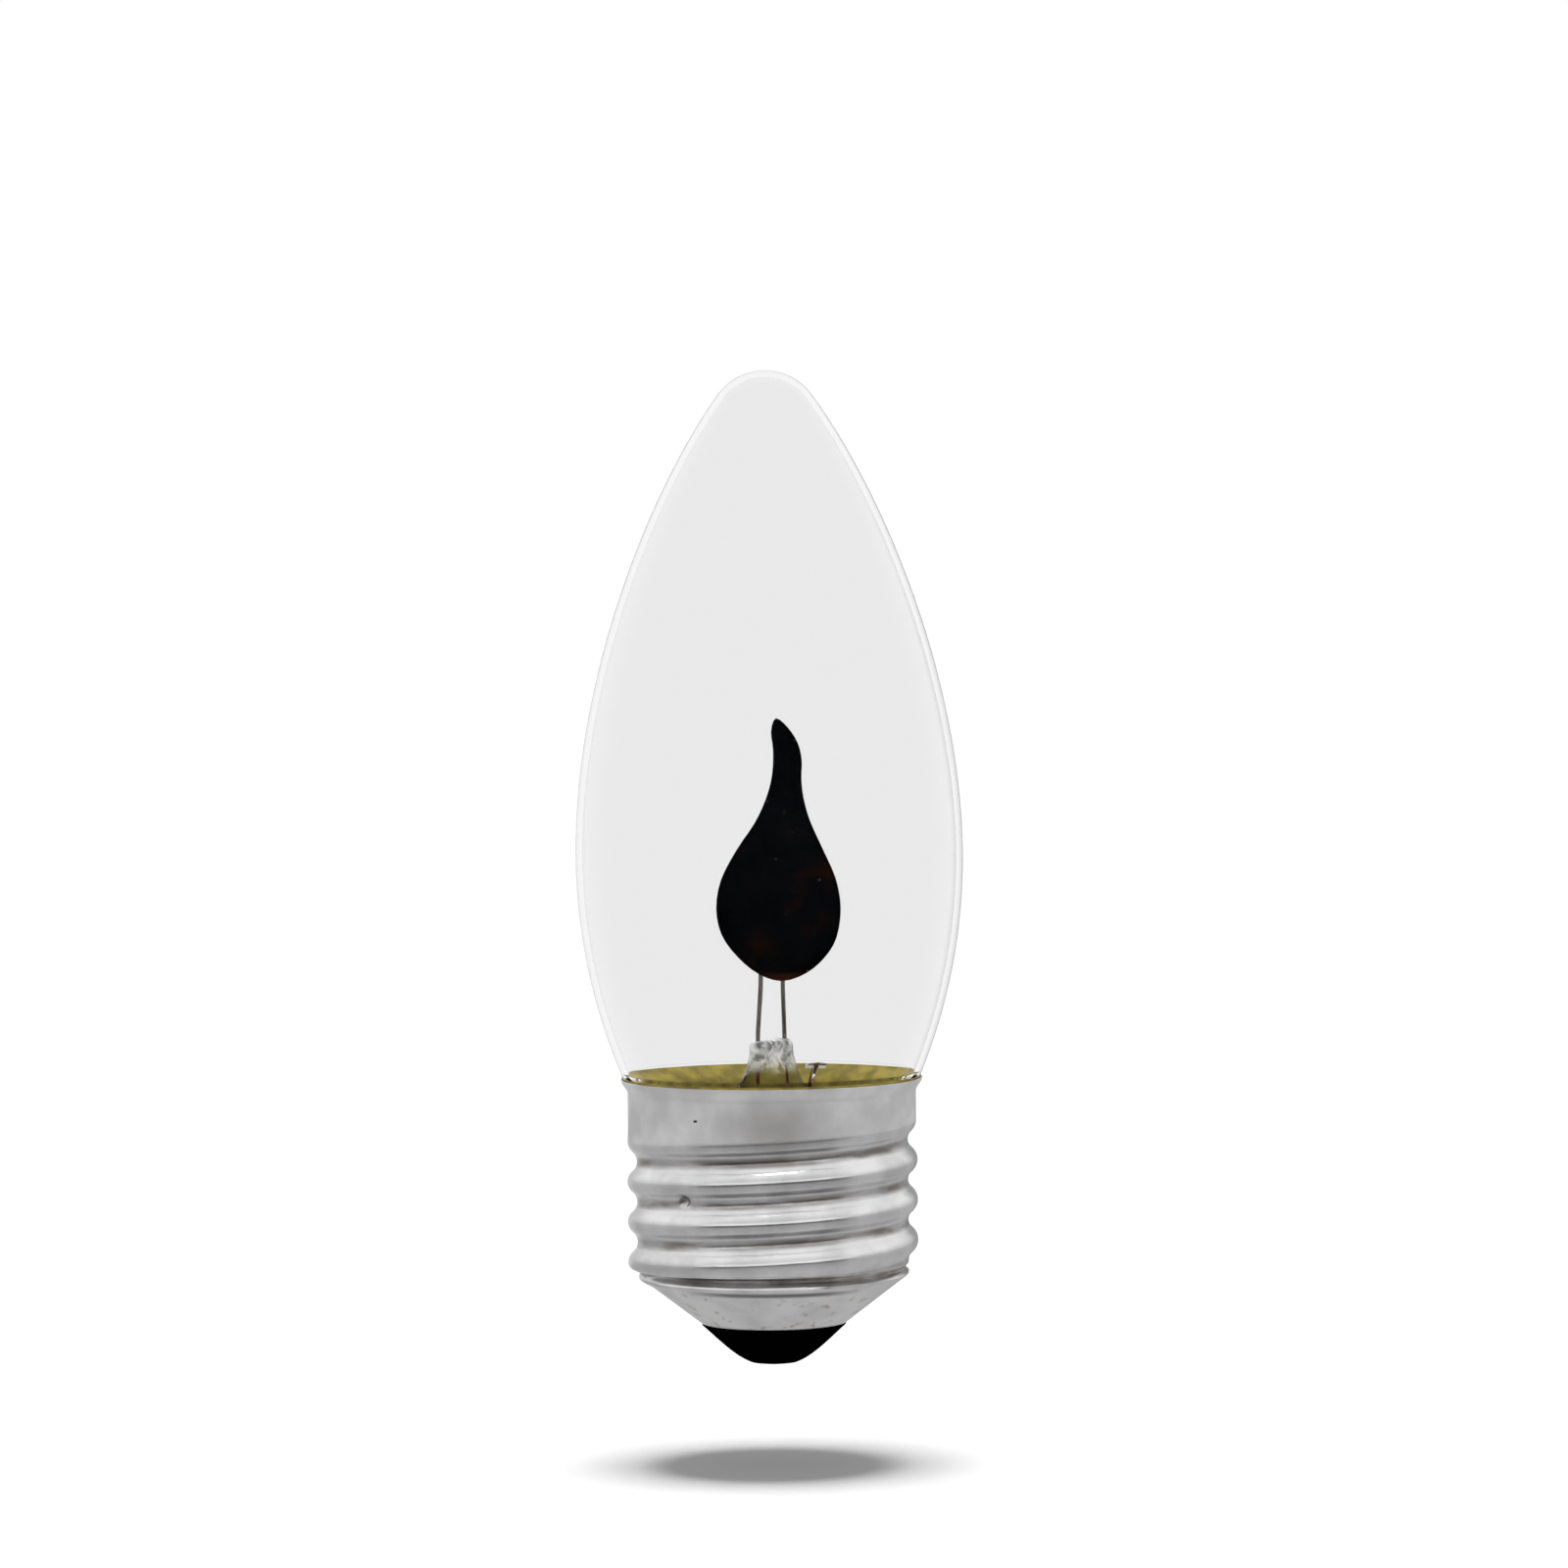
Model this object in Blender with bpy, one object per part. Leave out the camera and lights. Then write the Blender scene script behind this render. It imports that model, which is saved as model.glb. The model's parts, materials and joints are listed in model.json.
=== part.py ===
"""Flicker flame glow lamp: a clear candle envelope with two flame plates, on a 27 mm screw cap.

The lamp stands on its centre contact, +Z up. The origin is on the lamp's axis at the foot of the
contact. The thread's angles are counted from +X, and the photographed side faces -Y.
"""

import math

import bmesh
import bpy

MM = 0.001
TAU = 2 * math.pi

# Fits
SEAT_GAP = 0.15 * MM  # between pieces that touch on the real lamp
WIRE_GAP = 0.10 * MM  # between a wire and what holds it

# Screw cap
SHELL_WALL = 0.30 * MM
THREAD_DIAMETER = 26.2 * MM
THREAD_DEPTH = 0.87 * MM
THREAD_PITCH = 3.629 * MM
THREAD_CREST_HEIGHT = 14.75 * MM  # a crest on the +X side
RUNOUT_START_TURNS = 1.0  # turns above that crest where the top groove starts to fade
RUNOUT_TURNS = 0.28  # turns in which it fades into the collar
THREAD_FOOT_HEIGHT = 7.4 * MM  # where the lowest groove has faded out on the cone
THREAD_FOOT_FADE = 0.9 * MM
COLLAR_STEP = 0.10 * MM  # collar radius below the thread's crests
RIM_HEIGHT = 25.7 * MM
LIP_HEIGHT = 1.2 * MM
LIP_FLARE = 0.60 * MM
CONE_TOP_HEIGHT = 8.1 * MM
CONE_FOOT_HEIGHT = 3.7 * MM
CONE_FOOT_DIAMETER = 13.0 * MM

# Insulator, contact and solder at the foot
FLANGE_OVERLAP = 3.1 * MM
FLANGE_THICKNESS = 1.1 * MM
DISH_DEPTH = 2.4 * MM  # inside the cap, from the flange down to the lead's hole
INSULATOR_FOOT_DIAMETER = 4.9 * MM
INSULATOR_FOOT_HEIGHT = 0.15 * MM
CONTACT_DIAMETER = 3.6 * MM
CONTACT_THICKNESS = 0.30 * MM
SOLDER_HEIGHT = 0.40 * MM
SOLDER_DIAMETER = 3.0 * MM
SOLDER_FLAT_DIAMETER = 2.0 * MM

# Glass envelope
GLASS_WALL = 0.60 * MM
LAMP_LENGTH = 89.5 * MM
BULB_DIAMETER = 34.9 * MM
BULB_WIDEST_HEIGHT = 46.0 * MM
TIP_RADIUS = 5.2 * MM
TIP_ARC_START = math.radians(36)
SHOULDER_RISE = 0.25 * MM  # above the cap's rim
SHOULDER_INSET = 0.15 * MM  # inside the outside of the cap's lip
SHOULDER_SLOPE = math.radians(22)
NECK_TOP_DEPTH = 3.2 * MM  # from the rim down to where the neck is straight
NECK_LENGTH = 10.15 * MM  # from the shoulder to the neck's foot
CEMENT_GROOVE_THICKNESS = 0.33 * MM  # between the neck and the thread's roots
CEMENT_TOP_DEPTH = 0.40 * MM  # below the rim
CEMENT_HEIGHT = 4.5 * MM
CEMENT_EDGE = 0.10 * MM  # least width of the ring's top

# Glass stem
PRESS_TOP_RISE = 3.55 * MM  # above the cap's rim
PRESS_WIDTH = 6.0 * MM
PRESS_THICKNESS = 1.8 * MM
PRESS_HEIGHT = 7.0 * MM
PRESS_TURN = math.radians(53)  # the press's wide side from +X
STEM_TUBE_DIAMETER = 7.6 * MM
STEM_WALL = 0.9 * MM
FLARE_HEIGHT = 4.4 * MM
FLARE_RIM_THICKNESS = 0.65 * MM
EXHAUST_TUBE_DIAMETER = 2.8 * MM
EXHAUST_TUBE_WALL = 0.5 * MM
EXHAUST_TUBE_LENGTH = 11.0 * MM
EXHAUST_HOLE_DIAMETER = 1.1 * MM
SEAL_DEPTH = 1.2 * MM  # from the press's top down to the seal wires

# Flame plates and the wires that carry them
FLAME_HEIGHT = 23.6 * MM
FLAME_WIDTH = 11.2 * MM
FLAME_SHIFT = 0.78 * MM  # the bowl's centre from the lamp's axis
PLATE_THICKNESS = 0.20 * MM
PLATE_SPACING = 2.0 * MM  # between the plates' inner faces
SUPPORT_LENGTH = 5.35 * MM  # of the wires, from the press to the plates
SUPPORT_DIAMETER = 0.44 * MM
WELD_LENGTH = 4.0 * MM
FRONT_WELD_SHIFT = -0.84 * MM  # of the front wire's weld from the lamp's axis
REAR_WELD_SHIFT = 1.09 * MM
SEAL_SPACING = 4.0 * MM  # between the wires in the press
SEAL_LENGTH = 3.6 * MM
SEAL_DIAMETER = 0.40 * MM

# Leads and ballast resistor inside the cap
LEAD_DIAMETER = 0.40 * MM
SIDE_LEAD_DIAMETER = 0.22 * MM
SIDE_LEAD_TURN = math.radians(72)  # where the side lead crosses the rim
SIDE_LEAD_DROP = 1.3 * MM  # below the stem's foot, where it passes under the neck
NOTCH_WIDTH = 0.50 * MM
NOTCH_DEPTH = 1.2 * MM
SIDE_SOLDER_WIDTH = 2.9 * MM
SIDE_SOLDER_HEIGHT = 1.1 * MM
SIDE_SOLDER_THICKNESS = 0.7 * MM
SIDE_SOLDER_RISE = 0.35 * MM  # above the rim
RESISTOR_LENGTH = 6.3 * MM
RESISTOR_DIAMETER = 2.4 * MM
RESISTOR_OFFSET = 4.6 * MM  # of its axis from the lamp's
RESISTOR_ROOM = 0.3 * MM  # above the insulator
LEAD_BEND = 0.9 * MM  # from the resistor's end to the bend in its lead

# The flame's outline, clockwise from the tip, as shares of its half width and its height
FLAME_OUTLINE = (
    (-0.01, 1.000),
    (0.18, 0.965),
    (0.34, 0.905),
    (0.40, 0.840),
    (0.39, 0.775),
    (0.42, 0.700),
    (0.52, 0.610),
    (0.73, 0.495),
    (0.93, 0.385),
    (1.00, 0.275),
    (0.93, 0.165),
    (0.74, 0.090),
    (0.44, 0.030),
    (0.05, 0.000),
    (-0.33, 0.028),
    (-0.67, 0.095),
    (-0.92, 0.180),
    (-1.00, 0.280),
    (-0.92, 0.385),
    (-0.66, 0.500),
    (-0.37, 0.600),
    (-0.18, 0.695),
    (-0.08, 0.785),
    (-0.06, 0.880),
    (-0.09, 0.950),
)

# Mesh steps
SHELL_COLUMNS = 48
ROWS_PER_PITCH = 6
GLASS_STEPS = 36
SMALL_STEPS = 24
SLOPE_STEP = 0.01 * MM  # over which the cap's slope is read

# Sizes that follow from the ones above
thread_radius = THREAD_DIAMETER / 2
root_radius = thread_radius - THREAD_DEPTH
collar_radius = thread_radius - COLLAR_STEP
collar_bore = collar_radius - SHELL_WALL
root_bore = root_radius - SHELL_WALL
cone_foot_radius = CONE_FOOT_DIAMETER / 2
cone_spread = (root_radius - cone_foot_radius) / (CONE_TOP_HEIGHT - CONE_FOOT_HEIGHT)
cone_slant = math.hypot(1.0, cone_spread)
neck_radius = root_bore - CEMENT_GROOVE_THICKNESS - 2 * SEAT_GAP
shoulder_radius = collar_radius + LIP_FLARE - SHOULDER_INSET
shoulder_height = RIM_HEIGHT + SHOULDER_RISE
neck_foot = shoulder_height - NECK_LENGTH
cement_top = RIM_HEIGHT - CEMENT_TOP_DEPTH
cement_foot = cement_top - CEMENT_HEIGHT
flare_top = neck_foot - SEAT_GAP
flare_foot = flare_top - FLARE_RIM_THICKNESS
press_top = RIM_HEIGHT + PRESS_TOP_RISE
press_foot = press_top - PRESS_HEIGHT
tube_bore = STEM_TUBE_DIAMETER / 2 - STEM_WALL
bore_top = press_foot + STEM_WALL
seal_top = press_top - SEAL_DEPTH
seal_foot = seal_top - SEAL_LENGTH
flame_foot = press_top + SUPPORT_LENGTH
contact_top = SOLDER_HEIGHT + SEAT_GAP + CONTACT_THICKNESS
edge_radius = cone_foot_radius - SHELL_WALL / cone_slant - SEAT_GAP
edge_rise = (edge_radius + (SHELL_WALL + SEAT_GAP) * cone_slant - cone_foot_radius) / cone_spread
edge_height = CONE_FOOT_HEIGHT + edge_rise
flange_radius = edge_radius + FLANGE_OVERLAP
flange_height = edge_height + FLANGE_OVERLAP / cone_spread
dish_height = flange_height + FLANGE_THICKNESS
dish_floor = dish_height - DISH_DEPTH
resistor_height = dish_height + RESISTOR_ROOM + RESISTOR_DIAMETER / 2
resistor_side = PRESS_TURN + math.pi
lead_hole_radius = LEAD_DIAMETER / 2 + WIRE_GAP
side_lead_radius = neck_radius + SEAT_GAP + CEMENT_GROOVE_THICKNESS / 2


def smooth(share):
    """An ease from 0 to 1 with level ends."""
    share = min(max(share, 0.0), 1.0)
    return share * share * (3 - 2 * share)


def bezier(start, start_handle, end_handle, end, steps):
    """Points along a cubic curve, without its last one."""
    points = []
    for step in range(steps):
        t = step / steps
        weights = ((1 - t) ** 3, 3 * t * (1 - t) ** 2, 3 * t * t * (1 - t), t**3)
        corners = (start, start_handle, end_handle, end)
        points.append(tuple(sum(w * c[axis] for w, c in zip(weights, corners)) for axis in (0, 1)))
    return points


def rounded(points, rounds=2):
    """A polyline with its corners cut, which keeps its two ends."""
    for _ in range(rounds):
        cut = [points[0]]
        for first, second in zip(points, points[1:]):
            for share in (0.25, 0.75):
                cut.append(tuple(a + (b - a) * share for a, b in zip(first, second)))
        cut.append(points[-1])
        points = cut
    return points


def polar(radius, turn, height):
    """A point at a radius and an angle around the lamp's axis."""
    return (radius * math.cos(turn), radius * math.sin(turn), height)


def material(name, colour, roughness, metallic=0.0, transmission=0.0):
    """A plain principled material."""
    made = bpy.data.materials.new(name)
    made.use_nodes = True
    shader = made.node_tree.nodes["Principled BSDF"]
    shader.inputs["Base Color"].default_value = (*colour, 1.0)
    shader.inputs["Roughness"].default_value = roughness
    shader.inputs["Metallic"].default_value = metallic
    shader.inputs["Transmission Weight"].default_value = transmission
    return made


def add_object(name, data, finish, parent, location=(0, 0, 0), turn=0.0):
    """Links an object for a mesh or curve, with its material, parent, place and turn about Z."""
    data.materials.append(finish)
    made = bpy.data.objects.new(name, data)
    bpy.context.collection.objects.link(made)
    made.parent = parent
    made.location = location
    made.rotation_euler.z = turn
    return made


def finish_mesh(name, bm, smooth_angle=35):
    """Turns a bmesh into a smooth-shaded mesh."""
    bmesh.ops.recalc_face_normals(bm, faces=bm.faces)
    mesh = bpy.data.meshes.new(name)
    bm.to_mesh(mesh)
    bm.free()
    mesh.shade_smooth()
    mesh.set_sharp_from_angle(angle=math.radians(smooth_angle))
    return mesh


def turned(name, profile, finish, parent, steps=SMALL_STEPS, closed=False, location=(0, 0, 0), turn=0.0):
    """A turned piece: the profile (radius, height) runs down the outer side."""
    mesh = bpy.data.meshes.new(name)
    edges = [(i, i + 1) for i in range(len(profile) - 1)]
    if closed:
        edges.append((len(profile) - 1, 0))
    mesh.from_pydata([(radius, 0, height) for radius, height in profile], edges, [])
    made = add_object(name, mesh, finish, parent, location, turn)
    screw = made.modifiers.new("Turn", "SCREW")
    screw.steps = steps
    screw.render_steps = steps
    screw.use_merge_vertices = True
    screw.merge_threshold = 0.00001
    return made


def add_wall(made, thickness):
    """Gives a skin its wall, on the inner side."""
    wall = made.modifiers.new("Wall", "SOLIDIFY")
    wall.thickness = thickness
    wall.offset = -1
    wall.use_even_offset = True


def wire(name, points, diameter, finish, parent, sides=6):
    """A round wire along a polyline."""
    curve = bpy.data.curves.new(name, "CURVE")
    curve.dimensions = "3D"
    curve.bevel_depth = diameter / 2
    curve.bevel_resolution = (sides - 4) // 2
    curve.use_fill_caps = True
    spline = curve.splines.new("POLY")
    spline.points.add(len(points) - 1)
    for point, place in zip(spline.points, points):
        point.co = (*place, 1.0)
    return add_object(name, curve, finish, parent)


def cut_with(target, cutter):
    """Subtracts a hidden cutter from an object."""
    cutter.display_type = "WIRE"
    cutter.hide_render = True
    cutter.parent = target.parent
    cut = target.modifiers.new("Cut " + cutter.name, "BOOLEAN")
    cut.operation = "DIFFERENCE"
    cut.object = cutter


def box_cutter(name, centre, size, turn):
    """A box used as a cutter."""
    bm = bmesh.new()
    bmesh.ops.create_cube(bm, size=1.0)
    bmesh.ops.scale(bm, vec=size, verts=bm.verts)
    mesh = bpy.data.meshes.new(name)
    bm.to_mesh(mesh)
    bm.free()
    cutter = bpy.data.objects.new(name, mesh)
    bpy.context.collection.objects.link(cutter)
    cutter.location = centre
    cutter.rotation_euler.z = turn
    return cutter


def rod_cutter(name, diameter, length, centre, rotation=(0, 0, 0)):
    """A round rod used as a cutter."""
    bm = bmesh.new()
    radius = diameter / 2
    bmesh.ops.create_cone(
        bm, cap_ends=True, segments=12, radius1=radius, radius2=radius, depth=length
    )
    mesh = bpy.data.meshes.new(name)
    bm.to_mesh(mesh)
    bm.free()
    cutter = bpy.data.objects.new(name, mesh)
    bpy.context.collection.objects.link(cutter)
    cutter.location = centre
    cutter.rotation_euler = rotation
    return cutter


def groove_depth(turn_share):
    """Share of the thread's depth, 0 on a crest and 1 at the root, from two tangent arcs."""
    arc = ((THREAD_PITCH / 2) ** 2 + THREAD_DEPTH**2) / (4 * THREAD_DEPTH)
    from_crest = THREAD_PITCH * min(turn_share, 1.0 - turn_share)
    if from_crest <= THREAD_PITCH / 4:
        depth = arc - math.sqrt(arc**2 - from_crest**2)
    else:
        depth = THREAD_DEPTH - arc + math.sqrt(arc**2 - (THREAD_PITCH / 2 - from_crest) ** 2)
    return depth / THREAD_DEPTH


def cone_radius(height):
    """Outer radius of the straight cone at the cap's foot."""
    return cone_foot_radius + (height - CONE_FOOT_HEIGHT) * cone_spread


def shell_radius(height, turn):
    """Outer radius of the rolled cap at a height and an angle: cone, right-hand thread, collar and lip."""
    turns = (height - THREAD_CREST_HEIGHT) / THREAD_PITCH - turn / TAU
    groove = math.floor(turns)
    climbed = groove + turn / TAU
    fade_out = smooth((RUNOUT_START_TURNS + RUNOUT_TURNS - climbed) / RUNOUT_TURNS)
    fade_in = smooth((height - THREAD_FOOT_HEIGHT) / THREAD_FOOT_FADE)
    collar_share = smooth((height - THREAD_CREST_HEIGHT) / THREAD_PITCH - RUNOUT_START_TURNS)
    crest = thread_radius - COLLAR_STEP * collar_share
    rolled = (crest - root_radius) * fade_in * fade_out * groove_depth(turns - groove)
    lip = LIP_FLARE * smooth((height - RIM_HEIGHT + LIP_HEIGHT) / LIP_HEIGHT)
    return min(crest, cone_radius(height)) - rolled + lip


def rows_between(low, high, count):
    """Evenly spaced heights, without the last one."""
    return [low + (high - low) * row / count for row in range(count)]


def ring_surface(bm, rings, wrap):
    """Faces between neighbouring rings of vertices, each ring closed on itself."""
    pairs = list(zip(rings, rings[1:]))
    if wrap:
        pairs.append((rings[-1], rings[0]))
    for lower, upper in pairs:
        for i in range(len(lower)):
            j = (i + 1) % len(lower)
            bm.faces.new((lower[i], lower[j], upper[j], upper[i]))


def make_screw_shell(finish, parent):
    """The rolled cap: one skin whose radius follows the thread, then its wall and the lead's notch."""
    thread_top = RIM_HEIGHT - LIP_HEIGHT
    row_height = THREAD_PITCH / ROWS_PER_PITCH
    thread_rows = round((thread_top - THREAD_FOOT_HEIGHT) / row_height)
    heights = rows_between(CONE_FOOT_HEIGHT, THREAD_FOOT_HEIGHT, 3)
    heights += rows_between(THREAD_FOOT_HEIGHT, thread_top, thread_rows)
    heights += rows_between(thread_top, RIM_HEIGHT, 4) + [RIM_HEIGHT]
    turns = [TAU * column / SHELL_COLUMNS - math.pi for column in range(SHELL_COLUMNS)]
    bm = bmesh.new()
    rings = []
    for height in heights:
        rings.append([bm.verts.new(polar(shell_radius(height, turn), turn, height)) for turn in turns])
    ring_surface(bm, rings, wrap=False)
    mesh = bpy.data.meshes.new("screw_shell")
    bm.to_mesh(mesh)
    bm.free()
    mesh.shade_smooth()
    shell = add_object("screw_shell", mesh, finish, parent)
    add_wall(shell, SHELL_WALL)
    notch_size = (4 * SIDE_SOLDER_THICKNESS, NOTCH_WIDTH, 2 * NOTCH_DEPTH)
    notch_place = polar(collar_radius, SIDE_LEAD_TURN, RIM_HEIGHT)
    cut_with(shell, box_cutter("lead_notch", notch_place, notch_size, SIDE_LEAD_TURN))


def make_insulator(finish, parent):
    """Black glass that grips the cone's foot from both sides, with the lead's hole and the contact's seat."""
    foot_radius = INSULATOR_FOOT_DIAMETER / 2
    seat_radius = CONTACT_DIAMETER / 2 + SEAT_GAP
    seat_height = contact_top + SEAT_GAP
    belly = bezier(
        (cone_foot_radius, CONE_FOOT_HEIGHT - SEAT_GAP),
        (0.815 * cone_foot_radius, 0.68 * CONE_FOOT_HEIGHT),
        (1.47 * foot_radius, INSULATOR_FOOT_HEIGHT + 0.24 * CONE_FOOT_HEIGHT),
        (foot_radius, INSULATOR_FOOT_HEIGHT),
        7,
    )
    profile = [
        (0.5 * flange_radius, dish_height - 0.8 * DISH_DEPTH),
        (0.8 * flange_radius, dish_height - 0.25 * DISH_DEPTH),
        (flange_radius, dish_height),
        (flange_radius, flange_height),
        (edge_radius, edge_height),
        (edge_radius, CONE_FOOT_HEIGHT - SEAT_GAP),
        *belly,
        (foot_radius, INSULATOR_FOOT_HEIGHT),
        (seat_radius, INSULATOR_FOOT_HEIGHT),
        (seat_radius, seat_height),
        (lead_hole_radius, seat_height),
        (lead_hole_radius, dish_floor),
    ]
    turned("insulator", profile, finish, parent, steps=36, closed=True)


def make_contact(plate_finish, solder_finish, parent):
    """The eyelet at the foot and the solder that closes it and makes the contact face."""
    plate = [
        (CONTACT_DIAMETER / 2, CONTACT_THICKNESS),
        (CONTACT_DIAMETER / 2, 0),
        (lead_hole_radius, 0),
        (lead_hole_radius, CONTACT_THICKNESS),
    ]
    plate_place = (0, 0, SOLDER_HEIGHT + SEAT_GAP)
    turned("contact_plate", plate, plate_finish, parent, closed=True, location=plate_place)
    solder_radius = SOLDER_DIAMETER / 2
    flat_radius = SOLDER_FLAT_DIAMETER / 2
    bead = bezier(
        (solder_radius, SOLDER_HEIGHT),
        (solder_radius, 0.4 * SOLDER_HEIGHT),
        ((solder_radius + flat_radius) / 2, 0),
        (flat_radius, 0),
        4,
    )
    turned("centre_solder", [(0, SOLDER_HEIGHT), *bead, (flat_radius, 0), (0, 0)], solder_finish, parent)


def envelope_profile():
    """The envelope's outline from the tip to the neck's foot: an arc and three curves."""
    bulb_radius = BULB_DIAMETER / 2
    tip_centre = LAMP_LENGTH - TIP_RADIUS
    arc_steps = 4
    profile = []
    for step in range(arc_steps):
        turn = math.pi / 2 - (math.pi / 2 - TIP_ARC_START) * step / arc_steps
        profile.append((TIP_RADIUS * math.cos(turn), tip_centre + TIP_RADIUS * math.sin(turn)))
    profile[0] = (0.0, LAMP_LENGTH)
    arc_end = (TIP_RADIUS * math.cos(TIP_ARC_START), tip_centre + TIP_RADIUS * math.sin(TIP_ARC_START))
    rise = arc_end[1] - BULB_WIDEST_HEIGHT
    reach = 0.27 * rise
    arc_handle = (
        arc_end[0] + reach * math.sin(TIP_ARC_START),
        arc_end[1] - reach * math.cos(TIP_ARC_START),
    )
    widest = (bulb_radius, BULB_WIDEST_HEIGHT)
    profile += bezier(arc_end, arc_handle, (bulb_radius, BULB_WIDEST_HEIGHT + 0.37 * rise), widest, 7)
    shoulder = (shoulder_radius, shoulder_height)
    drop = BULB_WIDEST_HEIGHT - shoulder_height
    shoulder_handle = (
        shoulder_radius + 0.15 * drop * math.sin(SHOULDER_SLOPE),
        shoulder_height + 0.15 * drop * math.cos(SHOULDER_SLOPE),
    )
    profile += bezier(widest, (bulb_radius, BULB_WIDEST_HEIGHT - 0.5 * drop), shoulder_handle, shoulder, 5)
    return profile + neck_profile()


def neck_profile():
    """The envelope's outline inside the cap: it turns in under the shoulder and runs down to the foot."""
    turn_in = 0.13 * NECK_TOP_DEPTH
    profile = bezier(
        (shoulder_radius, shoulder_height),
        (
            shoulder_radius - turn_in * math.sin(SHOULDER_SLOPE),
            shoulder_height - turn_in * math.cos(SHOULDER_SLOPE),
        ),
        (neck_radius, RIM_HEIGHT - turn_in),
        (neck_radius, RIM_HEIGHT - NECK_TOP_DEPTH),
        6,
    )
    return profile + [(neck_radius, RIM_HEIGHT - NECK_TOP_DEPTH), (neck_radius, neck_foot)]


def make_envelope(finish, parent):
    """The blown envelope: its outline turned, then its wall."""
    glass = turned("glass_envelope", envelope_profile(), finish, parent, steps=GLASS_STEPS)
    add_wall(glass, GLASS_WALL)


def cement_bore():
    """The cement's inner side from its top to its foot, a fit away from the envelope's neck."""
    neck = neck_profile()
    fitted = []
    for (radius, height), (next_radius, next_height) in zip(neck, neck[1:]):
        slant = math.hypot(next_radius - radius, next_height - height)
        out = SEAT_GAP * (height - next_height) / slant
        down = SEAT_GAP * (radius - next_radius) / slant
        fitted.append((next_radius + out, next_height - down))
    above = [point for point in fitted if point[1] >= cement_top][-1]
    below = [point for point in fitted if cement_foot < point[1] < cement_top - SEAT_GAP]
    share = (above[1] - cement_top) / (above[1] - below[0][1])
    top = (above[0] + (below[0][0] - above[0]) * share, cement_top)
    return [top, *below, (neck_radius + SEAT_GAP, cement_foot)]


def cement_radius(height, turn):
    """The cement's outer radius, a fit away from the inside of the cap's wall."""
    rise = shell_radius(height + SLOPE_STEP, turn) - shell_radius(height - SLOPE_STEP, turn)
    wall = (SHELL_WALL + SEAT_GAP) * math.hypot(1.0, rise / (2 * SLOPE_STEP))
    return max(shell_radius(height, turn) - wall, neck_radius + 2 * SEAT_GAP)


def make_cement(finish, parent):
    """The cement ring: it fills the cap's bore around the neck and is open where the side lead passes."""
    row_count = 6
    heights = rows_between(cement_foot, cement_top, row_count) + [cement_top]
    turns = [TAU * column / SHELL_COLUMNS - math.pi for column in range(SHELL_COLUMNS)]
    bm = bmesh.new()
    rings = []
    for height in heights:
        rings.append([bm.verts.new(polar(cement_radius(height, turn), turn, height)) for turn in turns])
    for radius, height in cement_bore():
        ring = []
        for turn in turns:
            inner = min(radius, cement_radius(height, turn) - CEMENT_EDGE)
            ring.append(bm.verts.new(polar(inner, turn, height)))
        rings.append(ring)
    ring_surface(bm, rings, wrap=True)
    cement = add_object("basing_cement", finish_mesh("basing_cement", bm), finish, parent)
    slot_width = SIDE_LEAD_DIAMETER + 2 * WIRE_GAP
    slot_size = (3 * (collar_radius - neck_radius), slot_width, 2 * CEMENT_HEIGHT)
    slot_place = polar(collar_bore, SIDE_LEAD_TURN, cement_top)
    cut_with(cement, box_cutter("lead_slot", slot_place, slot_size, SIDE_LEAD_TURN))


def stadium_ring(bm, half_width, half_thickness, height, count=28):
    """A ring whose ends are round and whose sides are flat, or a circle where both halves are equal."""
    straight = half_width - half_thickness
    ring = []
    for step in range(count):
        turn = TAU * (step + 0.5) / count
        x = half_thickness * math.cos(turn) + math.copysign(straight, math.cos(turn))
        ring.append(bm.verts.new((x, half_thickness * math.sin(turn), height)))
    return ring


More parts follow.
